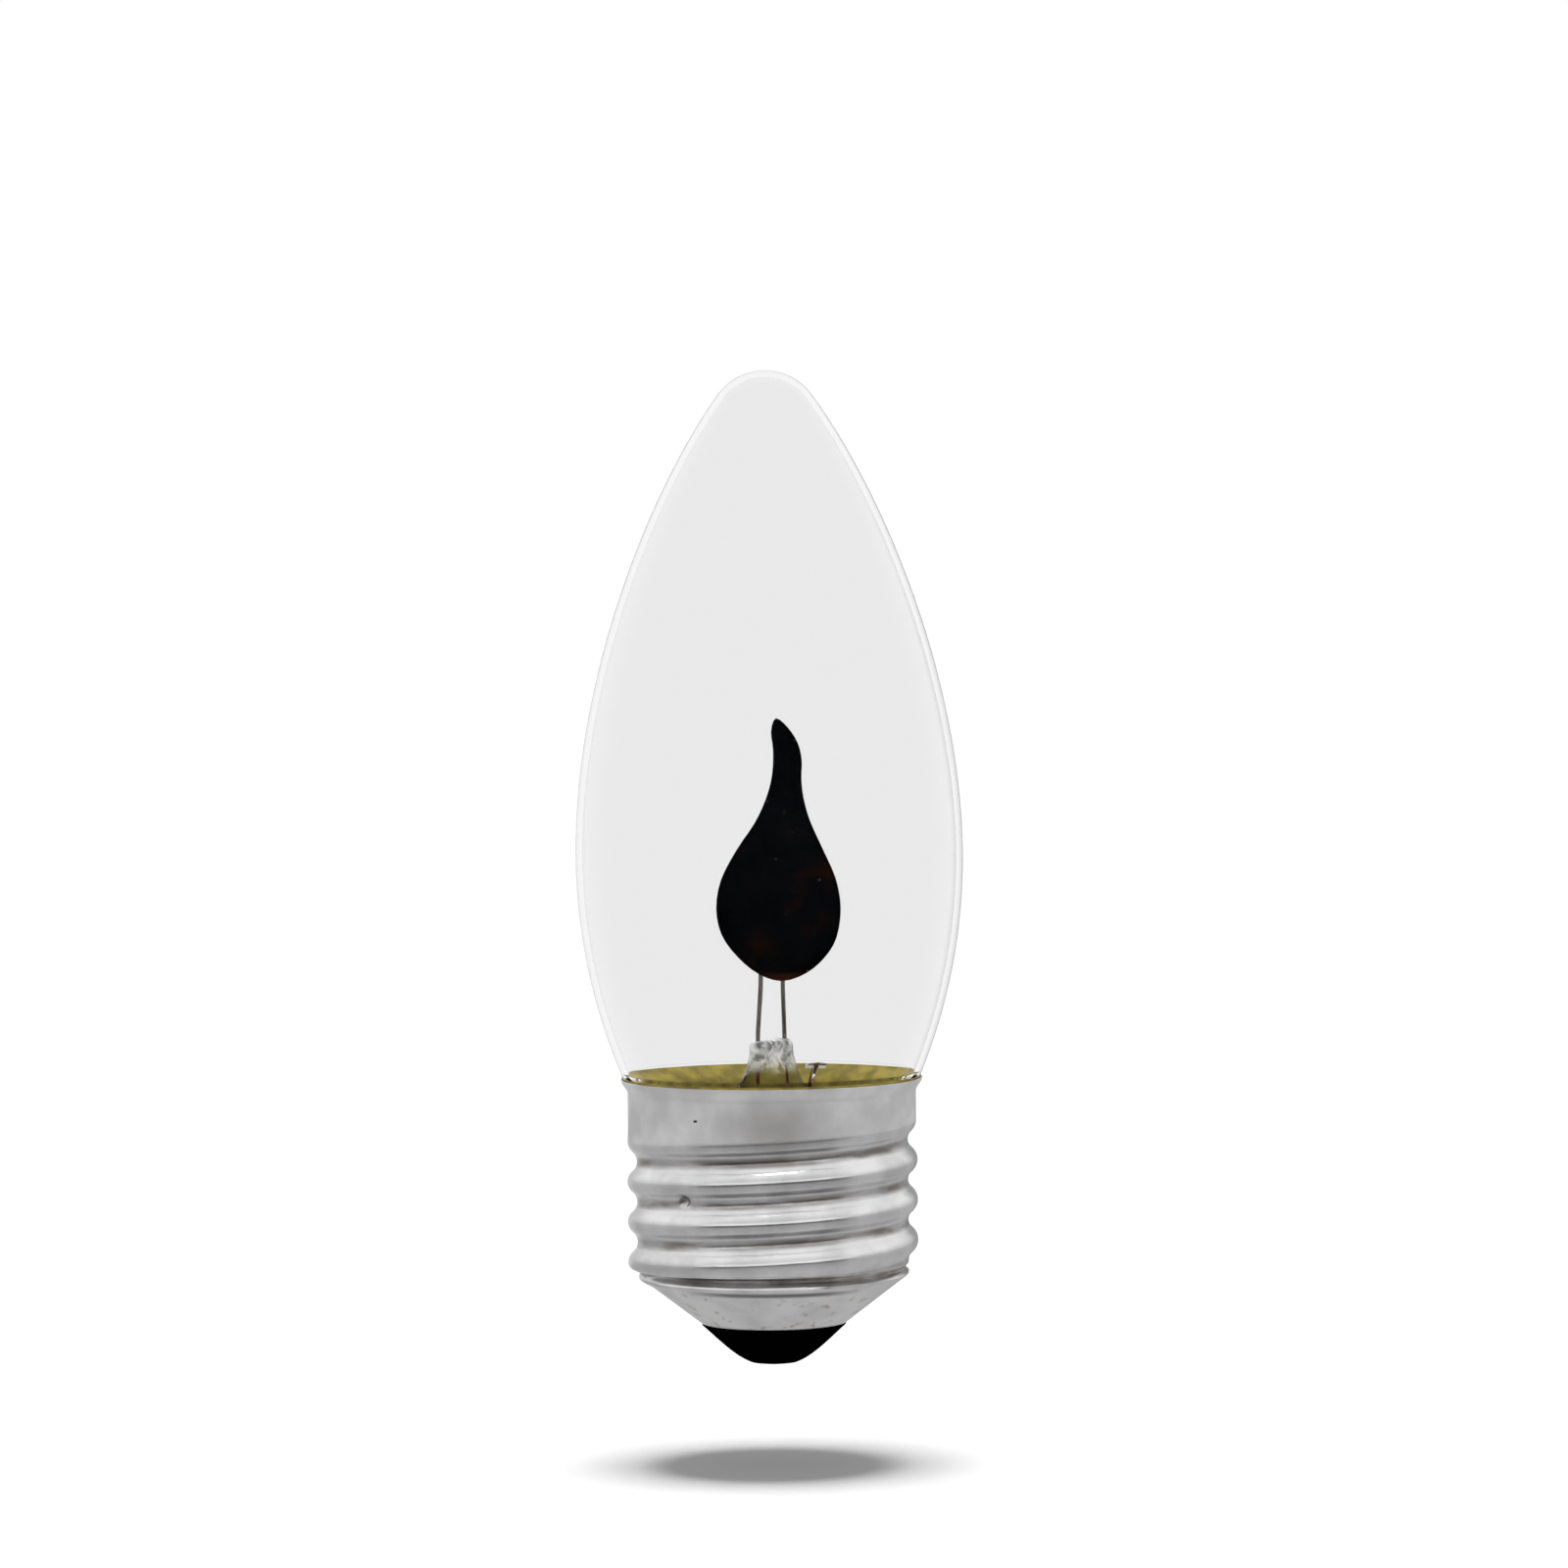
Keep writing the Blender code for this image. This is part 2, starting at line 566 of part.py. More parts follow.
def make_stem(finish, parent):
    """Flare, tube and pinched press in one loft, with its bore, the wires' channels and the exhaust hole."""
    tube = STEM_TUBE_DIAMETER / 2
    half_width = PRESS_WIDTH / 2
    half_thickness = PRESS_THICKNESS / 2
    widening = tube - half_width
    flare_radius = neck_radius - SEAT_GAP
    tube_foot = flare_foot + FLARE_HEIGHT
    sections = [
        (half_width - 0.35 * half_thickness, 0.65 * half_thickness, press_top),
        (half_width, half_thickness, press_top - 0.5 * half_thickness),
        (half_width, half_thickness, press_top - 0.12 * PRESS_HEIGHT),
        (half_width + 0.25 * widening, 0.55 * half_thickness + 0.22 * tube, press_top - 0.28 * PRESS_HEIGHT),
        (half_width + 0.50 * widening, 0.50 * tube, press_top - 0.46 * PRESS_HEIGHT),
        (half_width + 0.80 * widening, 0.78 * tube, press_top - 0.70 * PRESS_HEIGHT),
        (tube, tube, press_foot),
        (tube, tube, tube_foot),
    ]
    bm = bmesh.new()
    rings = [stadium_ring(bm, wide, thick, height) for wide, thick, height in sections]
    for share in (0.35, 0.65, 0.85, 1.0):
        radius = tube + (flare_radius - tube) * share**2.2
        height = tube_foot + (flare_top - tube_foot) * (1 - (1 - share) ** 1.6)
        rings.append(stadium_ring(bm, radius, radius, height))
    inner_rim = flare_radius - 0.35 * FLARE_RIM_THICKNESS
    rings.append(stadium_ring(bm, flare_radius, flare_radius, flare_foot))
    rings.append(stadium_ring(bm, inner_rim, inner_rim, flare_foot))
    for share in (0.85, 0.65, 0.35, 0.0):
        radius = tube_bore + (inner_rim - tube_bore) * share**2.2
        height = tube_foot + (flare_top - tube_foot) * (1 - (1 - share) ** 1.6) - 0.8 * FLARE_RIM_THICKNESS
        rings.append(stadium_ring(bm, radius, radius, height))
    rings.append(stadium_ring(bm, tube_bore, tube_bore, press_foot - 0.3 * STEM_WALL))
    rings.append(stadium_ring(bm, 0.88 * tube_bore, 0.88 * tube_bore, press_foot + 0.5 * STEM_WALL))
    rings.append(stadium_ring(bm, 0.6 * tube_bore, 0.6 * tube_bore, bore_top))
    ring_surface(bm, rings, wrap=False)
    bm.faces.new(rings[0])
    bm.faces.new(rings[-1])
    stem = add_object("stem_glass", finish_mesh("stem_glass", bm), finish, parent, turn=PRESS_TURN)
    channel = max(SUPPORT_DIAMETER, SEAL_DIAMETER, LEAD_DIAMETER) + 2 * WIRE_GAP
    length = press_top - press_foot + 2 * STEM_WALL
    for side, name in ((-1, "front_channel"), (1, "rear_channel")):
        place = polar(side * SEAL_SPACING / 2, PRESS_TURN, press_foot + length / 2)
        cut_with(stem, rod_cutter(name, channel, length, place))
    hole_place = polar(tube, PRESS_TURN + math.pi / 2, press_foot - EXHAUST_HOLE_DIAMETER)
    sideways = (math.pi / 2, 0, PRESS_TURN)
    cut_with(stem, rod_cutter("exhaust_hole", EXHAUST_HOLE_DIAMETER, 4 * STEM_WALL, hole_place, sideways))


def make_exhaust_tube(finish, parent):
    """The tube under the press, drawn to a closed tip where it was sealed off."""
    outer = EXHAUST_TUBE_DIAMETER / 2
    bore = outer - EXHAUST_TUBE_WALL
    top = EXHAUST_TUBE_LENGTH
    taper = 2.2 * outer
    profile = [(0, taper), (0.6 * bore, 1.1 * taper), (bore, 1.6 * taper), (bore, top), (outer, top)]
    profile += [(outer, 1.4 * taper), (0.75 * outer, 0.7 * taper), (0.35 * outer, 0.15 * taper), (0, 0)]
    place = (0, 0, press_foot - 0.3 * STEM_WALL - top)
    turned("exhaust_tube", profile, finish, parent, steps=16, location=place)


def flame_outline():
    """The flame's outline in metres, smoothed through its points."""
    count = len(FLAME_OUTLINE)
    corners = [(x * FLAME_WIDTH / 2 + FLAME_SHIFT, z * FLAME_HEIGHT) for x, z in FLAME_OUTLINE]
    outline = []
    for i in range(count):
        before, start, end, after = (corners[(i + offset) % count] for offset in (-1, 0, 1, 2))
        start_handle = tuple(s + (e - b) / 6 for s, e, b in zip(start, end, before))
        end_handle = tuple(e - (a - s) / 6 for e, a, s in zip(end, after, start))
        outline += bezier(start, start_handle, end_handle, end, 3)
    return outline


def make_electrode(name, side, finish, parent):
    """A flame-shaped plate stamped from sheet: side is -1 for the front one and 1 for the rear one."""
    bm = bmesh.new()
    blank = bm.faces.new([bm.verts.new((x, -PLATE_THICKNESS / 2, z)) for x, z in flame_outline()])
    extruded = bmesh.ops.extrude_face_region(bm, geom=[blank])
    moved = [item for item in extruded["geom"] if isinstance(item, bmesh.types.BMVert)]
    bmesh.ops.translate(bm, vec=(0, PLATE_THICKNESS, 0), verts=moved)
    place = (0, side * (PLATE_SPACING + PLATE_THICKNESS) / 2, flame_foot)
    add_object(name, finish_mesh(name, bm), finish, parent, place)


def make_support_wire(name, side, weld_x, finish, parent):
    """A wire from the press to the inner face of its plate."""
    x, y, _ = polar(side * SEAL_SPACING / 2, PRESS_TURN, 0)
    weld_y = side * (PLATE_SPACING / 2 - WIRE_GAP - SUPPORT_DIAMETER / 2)
    points = [
        (x, y, seal_top + WIRE_GAP),
        (x, y, press_top + 0.08 * SUPPORT_LENGTH),
        (x + 0.3 * (weld_x - x), y + 0.45 * (weld_y - y), press_top + 0.4 * SUPPORT_LENGTH),
        (weld_x, weld_y, flame_foot - 0.15 * SUPPORT_LENGTH),
        (weld_x, weld_y, flame_foot + WELD_LENGTH),
    ]
    wire(name, rounded(points), SUPPORT_DIAMETER, finish, parent, sides=8)


def make_seal_wire(name, side, finish, parent):
    """The short wire that is sealed in the press."""
    ends = [polar(side * SEAL_SPACING / 2, PRESS_TURN, height) for height in (seal_foot, seal_top)]
    wire(name, ends, SEAL_DIAMETER, finish, parent, sides=8)


def beside(out, along, height):
    """A point so far out towards the resistor, and so far sideways from there."""
    out_x, out_y = math.cos(resistor_side), math.sin(resistor_side)
    return (out * out_x + along * out_y, out * out_y - along * out_x, height)


def make_centre_leads(finish, parent):
    """The lead from the press and the resistor's two leads."""
    inner = SEAL_SPACING / 2
    spliced = inner + LEAD_DIAMETER + WIRE_GAP
    splice_top = flare_foot + 0.9 * FLARE_HEIGHT
    splice_foot = flare_foot + 0.2 * FLARE_HEIGHT
    down = [beside(inner, 0, seal_foot - WIRE_GAP), beside(inner, 0, splice_foot)]
    wire("centre_lead_wire", down, LEAD_DIAMETER, finish, parent)
    end = RESISTOR_LENGTH / 2 + WIRE_GAP
    bend = RESISTOR_LENGTH / 2 + LEAD_BEND
    up = [
        beside(RESISTOR_OFFSET, end, resistor_height),
        beside(RESISTOR_OFFSET, bend, resistor_height),
        beside(RESISTOR_OFFSET, bend, resistor_height + 0.7 * RESISTOR_DIAMETER),
        beside(spliced, 0, splice_foot),
        beside(spliced, 0, splice_top),
    ]
    wire("resistor_upper_lead", rounded(up), LEAD_DIAMETER, finish, parent)
    low = [
        beside(RESISTOR_OFFSET, -end, resistor_height),
        beside(RESISTOR_OFFSET, -bend, resistor_height),
        beside(0.45 * RESISTOR_OFFSET, -end, resistor_height - LEAD_BEND),
        beside(0, 0, dish_floor + LEAD_BEND),
        beside(0, 0, dish_floor),
        beside(0, 0, SOLDER_HEIGHT + WIRE_GAP),
    ]
    wire("resistor_lower_lead", rounded(low), LEAD_DIAMETER, finish, parent)


def make_resistor(finish, parent):
    """The lacquered ballast resistor, thicker over its two end caps. It lies across the cap."""
    radius = RESISTOR_DIAMETER / 2
    cap = 0.22 * RESISTOR_LENGTH
    end = 0.35 * radius
    half = [(0, 0), (0.7 * radius, 0), (radius, end), (radius, cap), (0.86 * radius, 1.5 * cap)]
    profile = [(r, RESISTOR_LENGTH - z) for r, z in half] + half[::-1]
    place = beside(RESISTOR_OFFSET, -RESISTOR_LENGTH / 2, resistor_height)
    body = turned("resistor_body", profile, finish, parent, steps=16, location=place)
    body.rotation_euler = (math.pi / 2, 0, resistor_side)


def make_side_lead(finish, parent):
    """The lead that leaves the stem, passes under the neck and rises beside it to the rim's notch."""
    inner = SEAL_SPACING / 2
    low = flare_foot - SIDE_LEAD_DROP
    turn = SIDE_LEAD_TURN
    part_way = PRESS_TURN + 0.4 * (turn - PRESS_TURN)
    outward = collar_radius + LIP_FLARE - side_lead_radius
    crossing = RIM_HEIGHT - 0.75 * NOTCH_DEPTH
    points = [
        polar(inner, PRESS_TURN, seal_foot - WIRE_GAP),
        polar(inner, PRESS_TURN, flare_foot + 0.8 * FLARE_HEIGHT),
        polar(1.6 * inner, PRESS_TURN, flare_foot + 0.2 * FLARE_HEIGHT),
        polar(0.6 * neck_radius, part_way, low),
        polar(0.95 * neck_radius, turn, low),
        polar(side_lead_radius, turn, flare_foot - 0.45 * SIDE_LEAD_DROP),
        polar(side_lead_radius, turn, 0.5 * (flare_foot + crossing)),
        polar(side_lead_radius, turn, crossing - 0.8 * NOTCH_DEPTH),
        polar(side_lead_radius + 0.3 * outward, turn, crossing - 0.15 * NOTCH_DEPTH),
        polar(side_lead_radius + 0.9 * outward, turn, crossing + 0.12 * NOTCH_DEPTH),
    ]
    wire("side_lead_wire", rounded(points), SIDE_LEAD_DIAMETER, finish, parent)


def make_side_solder(finish, parent):
    """The bead outside the notch: sections that swell and close along the rim."""
    centre_radius = collar_radius + LIP_FLARE + SEAT_GAP + SIDE_SOLDER_THICKNESS / 2
    centre_height = RIM_HEIGHT + SIDE_SOLDER_RISE - SIDE_SOLDER_HEIGHT / 2
    half_turn = SIDE_SOLDER_WIDTH / 2 / centre_radius
    bm = bmesh.new()
    rings = []
    for share in (-0.98, -0.85, -0.5, 0.0, 0.5, 0.85, 0.98):
        swell = math.sqrt(1 - share**2)
        ring = []
        for step in range(12):
            around = TAU * step / 12
            radius = centre_radius + swell * SIDE_SOLDER_THICKNESS / 2 * math.cos(around)
            height = centre_height + swell * SIDE_SOLDER_HEIGHT / 2 * math.sin(around)
            ring.append(bm.verts.new(polar(radius, share * half_turn, height)))
        rings.append(ring)
    ring_surface(bm, rings, wrap=False)
    bm.faces.new(rings[0])
    bm.faces.new(rings[-1])
    add_object("side_solder", finish_mesh("side_solder", bm), finish, parent, turn=SIDE_LEAD_TURN)


def build_lamp():
    """Makes every piece of the lamp under one empty."""
    lamp = bpy.data.objects.new("lamp", None)
    bpy.context.collection.objects.link(lamp)
    glass = material("clear_soda_glass", (0.95, 0.96, 0.96), 0.03, transmission=1.0)
    aluminium = material("rolled_aluminium", (0.74, 0.74, 0.75), 0.32, metallic=1.0)
    black_glass = material("black_insulator_glass", (0.01, 0.01, 0.011), 0.2)
    plate_iron = material("blackened_iron", (0.02, 0.02, 0.024), 0.5, metallic=0.6)
    nickel = material("nickel_wire", (0.42, 0.41, 0.40), 0.3, metallic=1.0)
    copper = material("copper_clad_wire", (0.60, 0.28, 0.16), 0.3, metallic=1.0)
    cement = material("olive_cement", (0.30, 0.26, 0.08), 0.8)
    brass = material("brass_eyelet", (0.70, 0.52, 0.22), 0.35, metallic=1.0)
    tin = material("tin_solder", (0.50, 0.49, 0.47), 0.35, metallic=1.0)
    lacquer = material("resistor_lacquer", (0.55, 0.42, 0.25), 0.45)
    make_screw_shell(aluminium, lamp)
    make_insulator(black_glass, lamp)
    make_contact(brass, tin, lamp)
    make_envelope(glass, lamp)
    make_cement(cement, lamp)
    make_stem(glass, lamp)
    make_exhaust_tube(glass, lamp)
    make_electrode("front_electrode", -1, plate_iron, lamp)
    make_electrode("rear_electrode", 1, plate_iron, lamp)
    make_support_wire("front_support_wire", -1, FRONT_WELD_SHIFT, nickel, lamp)
    make_support_wire("rear_support_wire", 1, REAR_WELD_SHIFT, nickel, lamp)
    make_seal_wire("front_seal_wire", -1, copper, lamp)
    make_seal_wire("rear_seal_wire", 1, copper, lamp)
    make_centre_leads(copper, lamp)
    make_resistor(lacquer, lamp)
    make_side_lead(copper, lamp)
    make_side_solder(tin, lamp)


for old in list(bpy.data.objects):
    bpy.data.objects.remove(old, do_unlink=True)
build_lamp()
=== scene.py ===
"""Looks of the flicker flame lamp: clear blown glass, two blackened flame plates, rolled aluminium cap."""

import json
import math

import bmesh
import bpy
from bpy.props import FloatProperty, FloatVectorProperty, IntProperty, PointerProperty
from mathutils import Matrix, Vector


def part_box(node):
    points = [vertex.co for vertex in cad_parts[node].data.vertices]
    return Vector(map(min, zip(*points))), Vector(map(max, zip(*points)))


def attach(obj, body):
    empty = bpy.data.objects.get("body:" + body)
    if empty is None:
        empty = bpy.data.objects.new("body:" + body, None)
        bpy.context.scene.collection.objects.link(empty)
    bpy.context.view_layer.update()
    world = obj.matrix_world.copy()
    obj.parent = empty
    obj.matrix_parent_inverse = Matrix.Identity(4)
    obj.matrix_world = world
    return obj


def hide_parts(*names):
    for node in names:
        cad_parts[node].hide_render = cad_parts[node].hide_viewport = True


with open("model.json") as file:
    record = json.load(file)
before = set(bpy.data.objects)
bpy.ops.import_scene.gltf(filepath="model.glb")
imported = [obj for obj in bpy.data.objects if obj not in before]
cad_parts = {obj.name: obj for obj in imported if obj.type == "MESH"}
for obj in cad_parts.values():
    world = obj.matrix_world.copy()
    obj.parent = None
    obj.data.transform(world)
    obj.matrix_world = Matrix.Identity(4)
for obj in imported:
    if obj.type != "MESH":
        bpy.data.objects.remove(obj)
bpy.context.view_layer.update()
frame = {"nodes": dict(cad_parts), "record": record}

bl_info = {
    "name": "Flicker flame lamp",
    "version": (1, 0, 0),
    "blender": (4, 5, 0),
    "location": "3D View > Sidebar > Flame lamp",
    "description": "Models a clear candle lamp with two flame plates on a 27 mm screw cap",
    "category": "Add Mesh",
}

MM = 0.001
TAU = 2 * math.pi
MERGE_DISTANCE = 0.002 * MM

# Places read from the frame
rim_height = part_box("screw_shell")[1].z
cone_foot_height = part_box("screw_shell")[0].z
lamp_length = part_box("glass_envelope")[1].z
bulb_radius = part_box("glass_envelope")[1].x
neck_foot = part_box("glass_envelope")[0].z
flare_foot, press_top = (corner.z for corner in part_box("stem_glass"))

# Cap: the part's sizes
THREAD_RADIUS = 13.1 * MM
THREAD_DEPTH = 0.87 * MM
THREAD_PITCH = 3.629 * MM
CREST_HEIGHT = 14.75 * MM
RUNOUT_START_TURNS = 1.0
RUNOUT_TURNS = 0.28
COLLAR_STEP = 0.10 * MM
COLLAR_FOOT_TURNS = 1.95
SHELL_WALL = 0.30 * MM
LIP_HEIGHT = 1.2 * MM
LIP_FLARE = 0.60 * MM
CONE_FOOT_RADIUS = 6.5 * MM
CONE_TOP_HEIGHT = 8.1 * MM
NOTCH_WIDTH = 0.50 * MM
NOTCH_DEPTH = 1.2 * MM
NOTCH_REACH = 2.8 * MM
SIDE_LEAD_TURN = math.radians(72)
SEAT_GAP = 0.15 * MM

# The thread's foot on the cone, finer than in the part
THREAD_FOOT_HEIGHT = 7.95 * MM
THREAD_FOOT_FADE = 0.6 * MM
PINCH_HEIGHT = 8.62 * MM
PINCH_WIDTH = 0.30 * MM
PINCH_DEPTH = 0.50 * MM
BEAD_HEIGHT = 7.70 * MM
BEAD_RISE = 0.30 * MM
# Height of the painted shade in the crease under the lowest groove
PAINTED_CREASE_HEIGHT = 7.35 * MM
SOFT_EDGE = 0.25 * MM

# A knock and a speck of dirt on the cap, and where painted shade and a painted reflection go
DENT_PLACE = (-8.0 * MM, -9.7 * MM, 15.6 * MM)
DENT_RADIUS = 0.45 * MM
SPECK_PLACE = (-6.8 * MM, -11.1 * MM, 22.9 * MM)
DARK_REFLECTION_PLACE = (0.5 * MM, -13.0 * MM, 22.0 * MM)

# Cement, filled to just under the lip
CEMENT_DROP = 0.15 * MM
CEMENT_CLEARANCE = 0.03 * MM
CEMENT_BRIM = (0.01 * MM, 0.05 * MM)
CEMENT_FOOT_TAPER = 1.6 * MM
CEMENT_ROWS = 24
LEAD_SLOT_WIDTH = 0.5 * MM
LEAD_SLOT_DEPTH = 4.5 * MM
SOLDER_BED_WIDTH = 2.1 * MM
SOLDER_BED_DEPTH = 0.17 * MM

# Foot of the cap: the part's sizes, but the insulator's foot is rounder
FLANGE_OVERLAP = 3.1 * MM
FLANGE_THICKNESS = 1.1 * MM
DISH_DEPTH = 2.4 * MM
INSULATOR_FOOT_RADIUS = 2.1 * MM
INSULATOR_FOOT_HEIGHT = 0.15 * MM
CONTACT_RADIUS = 1.8 * MM
LEAD_HOLE_RADIUS = 0.30 * MM
SOLDER_FLAT_RADIUS = 1.0 * MM

# Glass: the part's sizes, but a narrower press
WIDEST_HEIGHT = 46.0 * MM
TIP_RADIUS = 5.2 * MM
TIP_ARC_START = math.radians(36)
SHOULDER_RISE = 0.25 * MM
SHOULDER_INSET = 0.15 * MM
SHOULDER_SLOPE = math.radians(22)
NECK_TOP_DEPTH = 3.2 * MM
PRESS_WIDTH = 5.3 * MM
PRESS_THICKNESS = 1.8 * MM
PRESS_HEIGHT = 7.0 * MM
PRESS_TURN = math.radians(53)
TUBE_RADIUS = 3.8 * MM
TUBE_WALL = 0.9 * MM
FLARE_HEIGHT = 4.4 * MM
FLARE_RIM_THICKNESS = 0.65 * MM

# Fineness: faces around each turned piece, and points along the glass
GLASS_DETAIL = 4
GLASS_FACES = 160
STEM_FACES = 72
CEMENT_FACES = 128
INSULATOR_FACES = 96
CONTACT_FACES = 48
TENT_FACES = 64
# Degrees between faces past which an edge is shaded sharp
SHARP_ANGLE = 35
ROLLED_ANGLE = 50

# Stage
FLOOR_SIZE = 8.0
SUN_SPREAD = math.radians(24)
CAMERA_AIM = (1.4 * MM, 0, 52.3 * MM)
SENSOR_WIDTH = 36.0
TENT_MIDDLE = (0, 0, 18 * MM)
# The tent's outline in millimetres: distance from the axis, height above the floor
TENT_OUTLINE = ((0, 1.5), (400, 1.5), (600, 130), (600, 410), (300, 650), (0, 710))

# Light that the gloss sees, by how far up it comes from: 0 straight below, 0.5 level, 1 straight above
TENT_SIDE = ((0.0, 0.50), (0.30, 0.45), (0.48, 0.50), (0.55, 0.70), (0.70, 0.95), (1.0, 1.0))
TENT_FRONT = (
    (0.0, 0.50),
    (0.10, 0.45),
    (0.34, 0.36),
    (0.42, 0.10),
    (0.48, 0.08),
    (0.505, 0.35),
    (0.54, 1.15),
    (0.59, 1.10),
    (0.68, 0.72),
    (1.0, 0.90),
)

root_radius = THREAD_RADIUS - THREAD_DEPTH
collar_radius = THREAD_RADIUS - COLLAR_STEP
cone_spread = (root_radius - CONE_FOOT_RADIUS) / (CONE_TOP_HEIGHT - cone_foot_height)
cone_slant = math.hypot(1.0, cone_spread)
neck_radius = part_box("stem_glass")[1].x + SEAT_GAP
shoulder_radius = collar_radius + LIP_FLARE - SHOULDER_INSET
shoulder_height = rim_height + SHOULDER_RISE


def linear(hex_colour):
    """An sRGB hex colour as linear red, green, blue and alpha."""
    shares = [int(hex_colour[place:place + 2], 16) / 255 for place in (1, 3, 5)]
    return tuple(s / 12.92 if s <= 0.04045 else ((s + 0.055) / 1.055) ** 2.4 for s in shares) + (1.0,)


def grey(value):
    """A linear grey as a colour."""
    return (value, value, value, 1.0)


def shaded(colour, share):
    """The same colour, darker, or brighter where the share is above 1."""
    return tuple(share * part for part in colour[:3]) + (1.0,)


def per_mm(size):
    """The texture scale at which a pattern's features are so many millimetres wide."""
    return 1 / (size * MM)


def smooth(share):
    """An ease from 0 to 1 with level ends."""
    share = min(max(share, 0.0), 1.0)
    return share * share * (3 - 2 * share)


def bezier(start, start_handle, end_handle, end, steps):
    """Points along a cubic curve, without its last one."""
    points = []
    for step in range(steps):
        t = step / steps
        weights = ((1 - t) ** 3, 3 * t * (1 - t) ** 2, 3 * t * t * (1 - t), t**3)
        corners = (start, start_handle, end_handle, end)
        points.append(tuple(sum(w * c[axis] for w, c in zip(weights, corners)) for axis in (0, 1)))
    return points


# Modelling steps


def start_piece(name, add, **settings):
    """Adds a primitive with nothing else selected, names it and opens it in edit mode."""
    bpy.ops.object.select_all(action="DESELECT")
    add(**settings)
    piece = bpy.context.active_object
    piece.name = name
    piece.data.name = name
    bpy.ops.object.mode_set(mode="EDIT")
    bpy.ops.mesh.select_mode(type="VERT")
    bpy.ops.mesh.select_all(action="SELECT")
    return piece


def close_edit(piece):
    """Merges what coincides, turns the faces outwards and leaves edit mode."""
    bpy.ops.mesh.select_all(action="SELECT")
    bpy.ops.mesh.remove_doubles(threshold=MERGE_DISTANCE)
    bpy.ops.mesh.normals_make_consistent(inside=False)
    bpy.ops.object.mode_set(mode="OBJECT")
    return piece


def face_outwards(piece):
    """Turns an open skin around the lamp's axis inside out if its faces point at the axis."""
    outward = sum(face.normal.xy.dot(face.center.xy) for face in piece.data.polygons)
    if outward < 0:
        bpy.ops.object.mode_set(mode="EDIT")
        bpy.ops.mesh.select_all(action="SELECT")
        bpy.ops.mesh.flip_normals()
        bpy.ops.object.mode_set(mode="OBJECT")


def turn_outline(name, outline, steps):
    """A turned piece: a vertex is extruded along the outline (radius, height), which is then spun."""
    piece = start_piece(name, bpy.ops.mesh.primitive_plane_add, size=MM)
    bpy.ops.mesh.merge(type="CENTER")
    bpy.ops.transform.translate(value=(outline[0][0], 0, outline[0][1]))
    for (radius, height), (next_radius, next_height) in zip(outline, outline[1:]):
        step = (next_radius - radius, 0, next_height - height)
        bpy.ops.mesh.extrude_vertices_move(TRANSFORM_OT_translate={"value": step})
    bpy.ops.mesh.select_all(action="SELECT")
    bpy.ops.mesh.spin(steps=steps, angle=TAU, center=(0, 0, 0), axis=(0, 0, 1))
    return close_edit(piece)


def select_points(piece, chosen):
    """Selects the vertices with these numbers in the mesh that is being edited, and no others."""
    edit = bmesh.from_edit_mesh(piece.data)
    for vertex in edit.verts:
        vertex.select_set(vertex.index in chosen)
    edit.select_flush_mode()
    bmesh.update_edit_mesh(piece.data)


def part_halves(piece, old_centre, new_centre, scale):
    """Resizes the two round ends of the selected ring and moves them along X to a new spacing."""
    ring = {v.index: v.co.x for v in bmesh.from_edit_mesh(piece.data).verts if v.select}
    for side in (-1, 1):
        select_points(piece, {index for index, x in ring.items() if side * x > 0})
        bpy.ops.transform.resize(value=(scale, scale, 1), center_override=(side * old_centre, 0, 0))
        bpy.ops.transform.translate(value=(side * (new_centre - old_centre), 0, 0))
    select_points(piece, set(ring))


def pinched_loft(name, rings, count):
    """A tube with flat sides and round ends, from (half width, half thickness, height) of each ring."""
    width, thick, height = rings[0]
    piece = start_piece(name, bpy.ops.mesh.primitive_circle_add, vertices=count, radius=thick)
    bpy.ops.transform.rotate(value=math.pi / count, orient_axis="Z", center_override=(0, 0, 0))
    bpy.ops.transform.translate(value=(0, 0, height))
    part_halves(piece, 0, width - thick, 1)
    for (width, thick, height), (next_width, next_thick, next_height) in zip(rings, rings[1:]):
        bpy.ops.mesh.extrude_region_move(TRANSFORM_OT_translate={"value": (0, 0, next_height - height)})
        part_halves(piece, width - thick, next_width - next_thick, next_thick / thick)
    bpy.ops.mesh.edge_face_add()
    top = rings[0][2] - MERGE_DISTANCE
    select_points(piece, {v.index for v in bmesh.from_edit_mesh(piece.data).verts if v.co.z > top})
    bpy.ops.mesh.edge_face_add()
    return close_edit(piece)


def apply_modifier(piece, kind, **settings):
    """Adds a modifier with its settings and applies it."""
    bpy.ops.object.select_all(action="DESELECT")
    piece.select_set(True)
    bpy.context.view_layer.objects.active = piece
    modifier = piece.modifiers.new(kind.title(), kind)
    for name, value in settings.items():
        setattr(modifier, name, value)
    bpy.ops.object.modifier_apply(modifier=modifier.name)


def cut_away(piece, add, turn=0.0, stretch=(1, 1, 1), **settings):
    """Cuts a primitive's shape out of a piece and removes the primitive."""
    bpy.ops.object.select_all(action="DESELECT")
    add(**settings)
    cutter = bpy.context.active_object
    cutter.rotation_euler.z = turn
    cutter.scale = stretch
    apply_modifier(piece, "BOOLEAN", operation="DIFFERENCE", solver="EXACT", object=cutter)
    bpy.data.objects.remove(cutter, do_unlink=True)


def smooth_shade(piece, angle):
    """Shades a piece smooth, with creases where its faces meet more sharply than the angle."""
    bpy.ops.object.select_all(action="DESELECT")
    piece.select_set(True)
    bpy.context.view_layer.objects.active = piece
    bpy.ops.object.shade_smooth_by_angle(angle=math.radians(angle))


